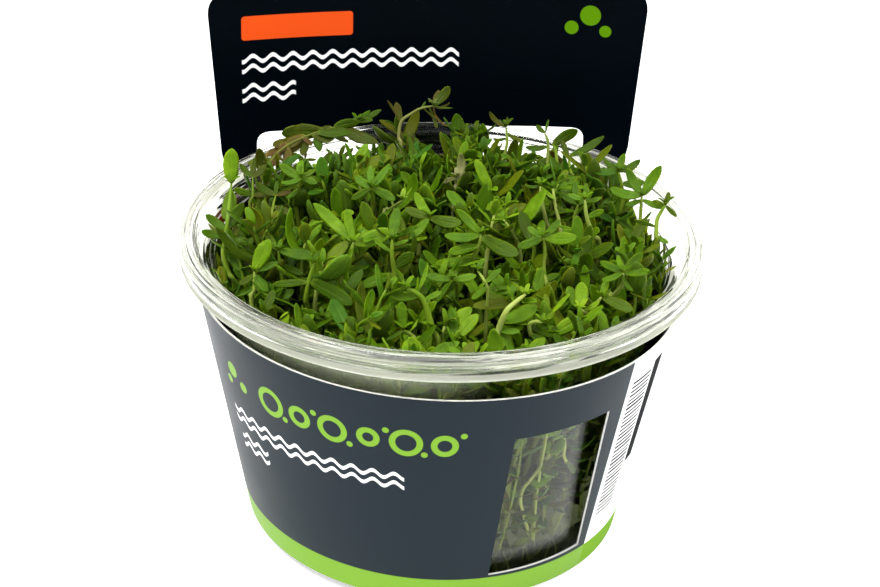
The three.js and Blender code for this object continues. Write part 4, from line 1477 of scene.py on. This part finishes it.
        Leaf(4, 556, 484, -1.5, "broad", 1.4, 0.2), Leaf(2.2, 510, 489, -1.5, "broad", 1.5, 0.12),
        Leaf(1, 542, 524, -1.5, "broad", 1.3, 0.3), Leaf(3, 533, 470, -1, "slim", 0.6, 0.3),
        Leaf(6, 527, 447, -1, "slim", 0.9, 0.7),
    ]),
    Shoot("window_bent", [
        Spot(571, 468, "wall", 2), Spot(563, 455, "wall", 1.6), Spot(565, 444, "wall", 1.6),
        Spot(562, 434, "wall", 1.8),
    ], 0.36, 0, 0.2, [
        Leaf(1.2, 553, 457, 0, "flat", 1, 0.15), Leaf(0.6, 580, 477, 0, "flat", 1, 0.35),
        Leaf(0, 568, 462, 0, "bud", 1, 0.3),
    ]),
    Shoot("window_leaf", [
        Spot(548, 534, "wall", 2.2), Spot(552, 529, "wall", 1.4),
    ], 0.35, 0.1, 0.6, [
        Leaf(1, 565, 507, -0.8, "bud", 1.1, -0.1), Leaf(0.6, 541, 518, -0.5, "bud", 1, 0.1),
    ]),
    Shoot("window_low", [
        Spot(503, 560, "wall", 2), Spot(508, 556, "wall", 1.6), Spot(510, 554, "wall", 1.4),
    ], 0.3, 0.05, 0.45, [
        Leaf(2, 526, 540, -0.8, "bud", 1.1, 0), Leaf(1, 502, 532, -0.5, "broad", 1.1, 0.3),
    ]),
    Shoot("under_rim", [
        Spot(555, 398, "wall", 1.5), Spot(556, 388, "wall", 1.2), Spot(556, 380, "wall", 1.2),
    ], 0.55, 0.2, 0, [
        Leaf(2, 556, 369, 0, "broad", 1.6, 0.3), Leaf(1.6, 570, 375, 0, "slim", 0.9, 0.35),
        Leaf(0.8, 545, 392, 0, "flat", 1, 0.3),
    ]),
)


def sight(across, down):
    """The way from the camera through one pixel of its view."""
    ahead = unit(np.array(CAMERA_VIEW))
    right = unit(np.cross(ahead, (0, 0, 1)))
    up = np.cross(right, ahead)
    sine, cosine = math.sin(math.radians(CAMERA_ROLL)), math.cos(math.radians(CAMERA_ROLL))
    right, up = right * cosine + up * sine, up * cosine - right * sine
    focal = CAMERA_LENS / SENSOR_WIDTH * VIEW_WIDTH
    return ahead * focal + right * (across - VIEW_WIDTH / 2) - up * (down - VIEW_HEIGHT / 2)


def half_millimetres(place):
    return np.round(place * 2) / 2


def within_wall(place, gap):
    """Whether a place is nearer the cup's axis than the wall's inside, with a gap."""
    return math.hypot(place[0], place[1]) < CUP_FOOT_RADIUS + CUP_TAPER * place[2] - CUP_WALL - gap


def spot_place(spot):
    """Where a spot of a course is. At the wall it is the first place inside on the way from the camera."""
    eye = np.array(CAMERA_PLACE)
    way = sight(spot.across, spot.down)
    if spot.rule == "height":
        reach = (spot.value - eye[2]) / way[2]
    elif spot.rule == "back":
        reach = (spot.value - eye[1]) / way[1]
    else:
        way = unit(way)
        steps = np.linspace(NEAREST, FARTHEST, 5401)
        reach = next(far for far in steps if within_wall(eye + way * far, spot.value))
    return half_millimetres(eye + way * reach)


def tip_place(leaf, course):
    """Where a leaf's tip is, from the place of its foot on the course."""
    eye = np.array(CAMERA_PLACE)
    ahead = unit(np.array(CAMERA_VIEW))
    way = sight(leaf.across, leaf.down)
    before = min(int(leaf.place), len(course) - 2)
    foot = lerp(course[before], course[before + 1], leaf.place - before)
    reach = ((foot - eye) @ ahead + leaf.farther) / (way @ ahead)
    return half_millimetres(eye + way * reach)


def place_shoot(shoot):
    """A posed shoot with its course and its leaves' tips in millimetres."""
    course = [spot_place(spot) for spot in shoot.course]
    leaves = [
        (leaf.place, tip_place(leaf, course), leaf.form, leaf.breadth, leaf.age) for leaf in shoot.leaves
    ]
    return shoot._replace(course=course, leaves=leaves)


# The posed leaves turn their faces this way, more or less, and vary their forms among those that look alike
FACING = np.array([-0.08, -0.70, 0.71])
ALIKE = {
    "flat": ("flat", "flat", "lance", "wavy", "arched"),
    "broad": ("broad", "broad", "wavy", "flat", "arched"),
}
COURSE_STEPS = 6  # steps of a posed stem between two of its points


def pose_shoot(growth, forms, rng, shoot):
    """A shoot whose every leaf is set. Its foot goes down to the gel."""
    _, points, thick, age, dry, leaves = shoot
    low = np.array(points[0], float)
    foot = low * (SHOOT_SPLAY + 0.06, SHOOT_SPLAY + 0.06, 0) + (0, 0, GEL_TOP)
    shift = 0
    if low[2] > 30:
        middle = lerp(foot, low, 0.55) * (0.97, 0.97, 1)
        points = [tuple(foot), tuple(middle)] + points
        shift = 2
    steps = COURSE_STEPS * (len(points) - 1) + 1
    course = course_through(points, steps)
    radii = 0.86 * thick * np.interp(np.linspace(0, 1, steps), (0, 0.5, 0.9, 1), (1.0, 0.95, 0.7, 0.4))
    growth.stem(course, radii, (age, rng.random(), dry), 8)
    shade = dry if dry > 0.3 else 0.0
    for place, tip, form, breadth, leaf_age in leaves:
        base = course[min(int(round((place + shift) * COURSE_STEPS)), steps - 1)]
        tip = np.array(tip, float)
        tip += (rng.uniform(-0.4, 0.4), rng.uniform(-0.6, 0.6), rng.uniform(-0.4, 0.4))
        face = unit(FACING + (rng.uniform(-0.42, 0.42), rng.uniform(-0.3, 0.3), rng.uniform(-0.4, 0.4)))
        form = forms[rng.choice(ALIKE.get(form, (form,)))]
        breadth *= rng.uniform(0.8, 1.0)
        tint = (0.08 + 0.92 * leaf_age, rng.uniform(0.15, 0.85), shade)
        growth.leaf_to(form, base, tip, face, breadth, tint)
    youngest = min(leaf[4] for leaf in leaves)
    if youngest < 0.5:
        add_crown(growth, forms, rng, course[-1], (youngest + 0.1, 0.5, dry))


def add_crown(growth, forms, rng, tip, tint):
    """Four small leaves that have just opened at a shoot's tip."""
    start = rng.uniform(0, math.pi)
    for k in range(4):
        turn = start + k * math.pi / 2
        way = unit((math.cos(turn), math.sin(turn), rng.uniform(1.8, 3.2)))
        size = rng.uniform(1.5, 2.1) if k % 2 else rng.uniform(2.0, 2.9)
        growth.leaf(forms["bud"], tip, way, unit((0, 0, 1.0) - way * 0.5), size, 1.0, tint)


def crowded(tip, crowns):
    """Whether a shoot would stand in front of one that was posed."""
    across = np.abs(crowns[:, 0] - tip[0])
    ahead = crowns[:, 1] - tip[1]
    near = (across < 5.5) & (ahead > -2.5) & (ahead < 8.5) & (crowns[:, 2] > 45)
    return near.any()


def foot_under(tip):
    """Where a shoot leaves the gel: the shoots splay outwards from the middle of the cup."""
    return np.array([tip[0] * SHOOT_SPLAY, tip[1] * SHOOT_SPLAY, GEL_TOP - 1.5])


def age_at(x, y):
    """Where a tuft's leaves sit on the age ramp, which darkens and browns them: lowest at the front, higher
    behind and at the sides, highest at the back on the left.
    """
    age = 0.20 + 0.18 * smoothstep(y, 5, 38) + 0.18 * smoothstep(abs(x), 18, 42)
    age += 0.2 * smoothstep(0.5 * y - x, 26, 52) - 0.06 * smoothstep(-y, 8, 34)
    return age


def grow_tuft(growth, forms, rng, top, age, crowns):
    """One shoot at the very place of a packed one, and its companions round it."""
    outer = math.hypot(top[0], top[1]) > OUTER_RING
    count = 7 if top[1] > 20 else 5 if top[1] > 5 else 4
    for k in range(count):
        tip = top.copy()
        tip[2] = min(tip[2], 65.5)
        if k:
            turn = math.tau * (k + rng.uniform(-0.35, 0.35)) / (count - 1)
            reach = rng.uniform(3.0, 6.4)
            drop = rng.uniform(0.0, 2.5 if top[1] > 20 else 7.5)
            tip += (reach * math.cos(turn), reach * math.sin(turn), -drop)
            tip[:2] *= min(1, 43.5 / math.hypot(tip[0], tip[1]))
        tip[2] -= 7.0 * crowded(tip, crowns)
        foot = foot_under(tip)
        turn = rng.uniform(0, math.tau)
        tilt = math.radians(rng.triangular(4, 66, 26))
        lean = np.array([math.sin(tilt) * math.cos(turn), math.sin(tilt) * math.sin(turn), math.cos(tilt)])
        course = grown_course(foot, tip, lean, (rng.uniform(-4, 4), rng.uniform(-4, 4)))
        size = rng.uniform(8.4, 11.0) if k < 3 else rng.uniform(6.8, 9.2)
        grown = age + rng.uniform(-0.16, 0.22)
        grow_shoot(growth, forms, rng, course, size, grown, rng.uniform(0.38, 0.62), 14 if outer else 8)
        if outer:
            add_roots(growth, rng, foot)


def grow_at_wall(growth, forms, rng, top, age):
    """Two lower shoots close to the cup's wall. Those by the window are thin and leafy all the way down."""
    for side in (-1, 1):
        turn = math.atan2(top[0], -top[1]) + math.radians(7.5 * side + rng.uniform(-3, 3))
        by_window = abs(math.degrees(turn) - WINDOW_AZIMUTH) < 24
        far = rng.uniform(41.5, 44.5)
        height = min(top[2], 62.0) - rng.uniform(3.5, 10.0)
        tip = np.array([far * math.sin(turn), -far * math.cos(turn), height])
        lean = unit((rng.uniform(-0.5, 0.5), rng.uniform(-0.5, 0.5), 1.0))
        course = grown_course(foot_under(tip), tip, lean, (rng.uniform(-3, 3), rng.uniform(-3, 3)))
        size = rng.uniform(5.0, 7.5) if by_window else rng.uniform(7.0, 9.6)
        thick, pairs = (0.24, 16) if by_window else (0.4, 7)
        grow_shoot(growth, forms, rng, course, size, age + rng.uniform(-0.1, 0.3), thick, pairs)


def plant(materials, forms):
    """Fine shoots in place of each packed one, and with them the posed shoots that are nearest to it."""
    nodes = sorted(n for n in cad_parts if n.startswith("shoot_"))
    tops = []
    for node in nodes:
        low, high = (np.array(corner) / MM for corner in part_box(node))
        tops.append(np.array([(low[0] + high[0]) / 2, (low[1] + high[1]) / 2, high[2] - 0.4]))
    posed = [place_shoot(shoot) for shoot in POSED_SHOOTS]
    crowns = np.array([shoot.course[-1] for shoot in posed], float)
    homes = [min(range(len(tops)), key=lambda i: np.hypot(*(tops[i] - crown)[:2])) for crown in crowns]
    for number, (node, top) in enumerate(zip(nodes, tops)):
        rng = random.Random(4100 + number)
        growth = Growth()
        age = age_at(top[0], top[1])
        grow_tuft(growth, forms, rng, top, age, crowns)
        if math.hypot(top[0], top[1]) > OUTER_RING and top[1] < 22:
            grow_at_wall(growth, forms, rng, top, age)
        growth.overhang = POSED_OVERHANG
        for home, shoot in zip(homes, posed):
            if home == number:
                pose_shoot(growth, forms, rng, shoot)
        belongs(growth_piece(f"{node}_leafy", growth, materials), "leaf", node)


# Looks of the plant. A leaf's colours run from young to old, and a stem's from its foot to its tip
LEAF_AGES = (
    (0.0, (0.215, 0.355, 0.010)),
    (0.16, (0.105, 0.210, 0.003)),
    (0.38, (0.046, 0.108, 0.001)),
    (0.62, (0.034, 0.066, 0.001)),
    (0.82, (0.050, 0.052, 0.004)),
    (1.0, (0.090, 0.040, 0.014)),
)
COOL_GREEN = (0.018, 0.105, 0.008)
WARM_GREEN = (0.125, 0.140, 0.003)
RIB_GREEN = (0.20, 0.32, 0.02)
BASE_GREEN = (0.24, 0.34, 0.03)
UNDERSIDE_GREEN = (0.13, 0.20, 0.03)
WITHERED_LEAF = ((0.10, 0.10, 0.03), (0.34, 0.34, 0.14))
STEM_LENGTHS = (
    (0.0, (0.12, 0.16, 0.015)),
    (0.45, (0.13, 0.20, 0.012)),
    (0.8, (0.14, 0.24, 0.008)),
    (1.0, (0.11, 0.22, 0.005)),
)
STEM_CLOUD = (0.22, 0.28, 0.035)
PALE_STEM = (0.42, 0.50, 0.12)
BROWN_STEM = (0.10, 0.075, 0.02)
DRY_STEM = (0.33, 0.33, 0.15)


def leaf_mottle():
    """Cloudy variation and fine cells, for leaves and for stems."""
    group, place, scale, result = new_group("leaf mottle", 420.0, "Cloud", "Height")
    fine = {"Vector": place, "Scale": times(group, scale, 9.0)}
    cells = add_node(group, "ShaderNodeTexVoronoi", fine).outputs["Distance"]
    fill(group, result, {"Cloud": noise(group, place, scale, 3.0), "Height": cells})
    return group


def growth_marks(tree):
    """What each point of a leaf or stem carries: age, chance, dryness, underside, place along and across."""
    tint = add_node(tree, "ShaderNodeAttribute", attribute_name="tint")
    age, chance, dry = add_node(tree, "ShaderNodeSeparateColor", {0: tint.outputs["Color"]}).outputs
    along, across, _ = split_up(tree, add_node(tree, "ShaderNodeUVMap", uv_map="leaf").outputs[0])
    return age, chance, dry, tint.outputs["Alpha"], along, across


def swing(tree, value, share):
    """A number from 0 to 1 as a swing about nought."""
    return times(tree, minus(tree, value, 0.5), share)


def leaf_blade(mottle):
    material, tree, shader = new_material("leaf_blade")
    age, chance, dry, under, along, across = growth_marks(tree)
    spots = use_group(tree, mottle, {"Place": object_place(tree)[0]})
    cloud = spots["Cloud"]
    old = plus(tree, plus(tree, age, swing(tree, cloud, 0.35)), swing(tree, chance, 0.36))
    colour = colour_ramp(tree, old, LEAF_AGES)
    colour = mix_colour(tree, remap(tree, chance, 0.0, 0.30, 0.6, 0.0), colour, COOL_GREEN)
    colour = mix_colour(tree, remap(tree, chance, 0.72, 1.0, 0.0, 0.65), colour, WARM_GREEN)
    from_rib_line = calc(tree, "ABSOLUTE", minus(tree, across, 0.5))
    rib = times(tree, between(tree, from_rib_line, -1.0, 0.10, 0.08), between(tree, along, -1.0, 0.95, 0.5))
    colour = mix_colour(tree, times(tree, rib, 0.09), colour, RIB_GREEN)
    colour = mix_colour(tree, times(tree, between(tree, along, -1.0, 0.16, 0.16), 0.35), colour, BASE_GREEN)
    colour = mix_colour(tree, times(tree, under, 0.25), colour, UNDERSIDE_GREEN)
    fill(tree, shader, {
        "Base Color": mix_colour(tree, dry, colour, mix_colour(tree, cloud, *WITHERED_LEAF)),
        "Roughness": remap(tree, cloud, 0.3, 0.7, 0.27, 0.42),
        "IOR": 1.36,
        "Specular IOR Level": 0.17,
        "Subsurface Weight": 0.30,
        "Subsurface Radius": (0.8, 1.0, 0.15),
        "Subsurface Scale": 0.0008,
        "Normal": bump(tree, 0.55, 0.00014, plus(tree, spots["Height"], times(tree, rib, -1.2))),
    })
    return material


def stem_skin(mottle):
    material, tree, shader = new_material("stem_skin")
    age, chance, dry, _, along, _ = growth_marks(tree)
    spots = use_group(tree, mottle, {"Place": object_place(tree)[0], "Scale": 260.0})
    colour = colour_ramp(tree, plus(tree, along, swing(tree, chance, 0.4)), STEM_LENGTHS)
    colour = mix_colour(tree, times(tree, spots["Cloud"], 0.35), colour, STEM_CLOUD)
    colour = mix_colour(tree, remap(tree, age, 0.0, 0.24, 0.85, 0.0), colour, PALE_STEM)
    colour = mix_colour(tree, remap(tree, age, 0.45, 1.0, 0.0, 0.7), colour, BROWN_STEM)
    fill(tree, shader, {
        "Base Color": mix_colour(tree, dry, colour, DRY_STEM),
        "Roughness": 0.42,
        "IOR": 1.38,
        "Specular IOR Level": 0.25,
        "Subsurface Weight": 0.3,
        "Subsurface Radius": (1.0, 1.0, 0.3),
        "Subsurface Scale": 0.0008,
        "Normal": bump(tree, 0.3, 0.00008, spots["Height"]),
    })
    return material


# ---------------------------------------------------------------- stage, lights and camera

SKY_FRONT = 1.0
SKY_BACK = 0.30
LIT_POINT = (0, 0, 0.05)


def studio_floor():
    deselect()
    bpy.ops.mesh.primitive_plane_add(size=6, location=(0, 0, -0.0002))
    floor = bpy.context.object
    floor.name = "floor"
    material, tree, shader = new_material("floor_white")
    speck = noise(tree, object_place(tree)[0], 40.0, 2.0)
    fill(tree, shader, {
        "Base Color": mix_colour(tree, speck, (0.93, 0.93, 0.93), (0.96, 0.96, 0.96)),
        "Roughness": 0.8,
        "Emission Color": (1, 1, 1, 1),
        "Emission Strength": 0.45,
    })
    floor.data.materials.append(material)


def area_light(name, place, size, power):
    """A square soft light that faces the plant."""
    data = bpy.data.lights.new(name, "AREA")
    data.size = size
    data.energy = power
    light = link(bpy.data.objects.new(name, data))
    light.location = place
    light.rotation_euler = (Vector(LIT_POINT) - Vector(place)).to_track_quat("-Z", "Y").to_euler()


def studio_lights():
    """A white sky that is darker at the back but looks white all round, and three lights."""
    world = bpy.data.worlds.new("studio")
    bpy.context.scene.world = world
    world.use_nodes = True
    tree = world.node_tree
    away = split_up(tree, add_node(tree, "ShaderNodeTexCoord").outputs["Generated"])[1]
    behind = remap(tree, away, 0.15, 0.75, SKY_FRONT, SKY_BACK)
    seen = add_node(tree, "ShaderNodeLightPath").outputs["Is Camera Ray"]
    sky = {"Color": (1, 1, 1, 1), "Strength": calc(tree, "MAXIMUM", behind, seen)}
    fill(tree, tree.nodes["Background"], sky)
    area_light("key", (-0.45, -0.30, 1.10), 0.45, 13)
    area_light("fill", (0.75, -0.25, 0.75), 0.6, 3.4)
    area_light("rim light", (0.15, 0.62, 1.15), 0.5, 4)
    bpy.context.scene.view_settings.view_transform = "Standard"
    bpy.context.scene.view_settings.look = "None"


def camera():
    data = bpy.data.cameras.new("camera")
    data.sensor_width = SENSOR_WIDTH
    data.lens = CAMERA_LENS
    data.clip_start = 0.01
    eye = link(bpy.data.objects.new("camera", data))
    turn = Vector(CAMERA_VIEW).to_track_quat("-Z", "Y").to_matrix().to_4x4()
    roll = Matrix.Rotation(math.radians(CAMERA_ROLL), 4, "Z")
    eye.matrix_world = Matrix.Translation(Vector(CAMERA_PLACE) * MM) @ turn @ roll
    bpy.context.scene.camera = eye


# ---------------------------------------------------------------- the whole

camera()
studio_lights()
studio_floor()
fibre = paper_fibre()
card_sleeve(
    print_material("card_print_outside", False, fibre),
    print_material("card_print_inside", True, fibre),
    bare_card(fibre),
)
marks = flow_marks()
clear_cup(clear_wall(marks), clear_rim(marks))
culture_gel(gel_matter())
mottle = leaf_mottle()
forms = {name: leaf_form(*values) for name, values in LEAF_FORMS.items()}
plant([leaf_blade(mottle), stem_skin(mottle)], forms)
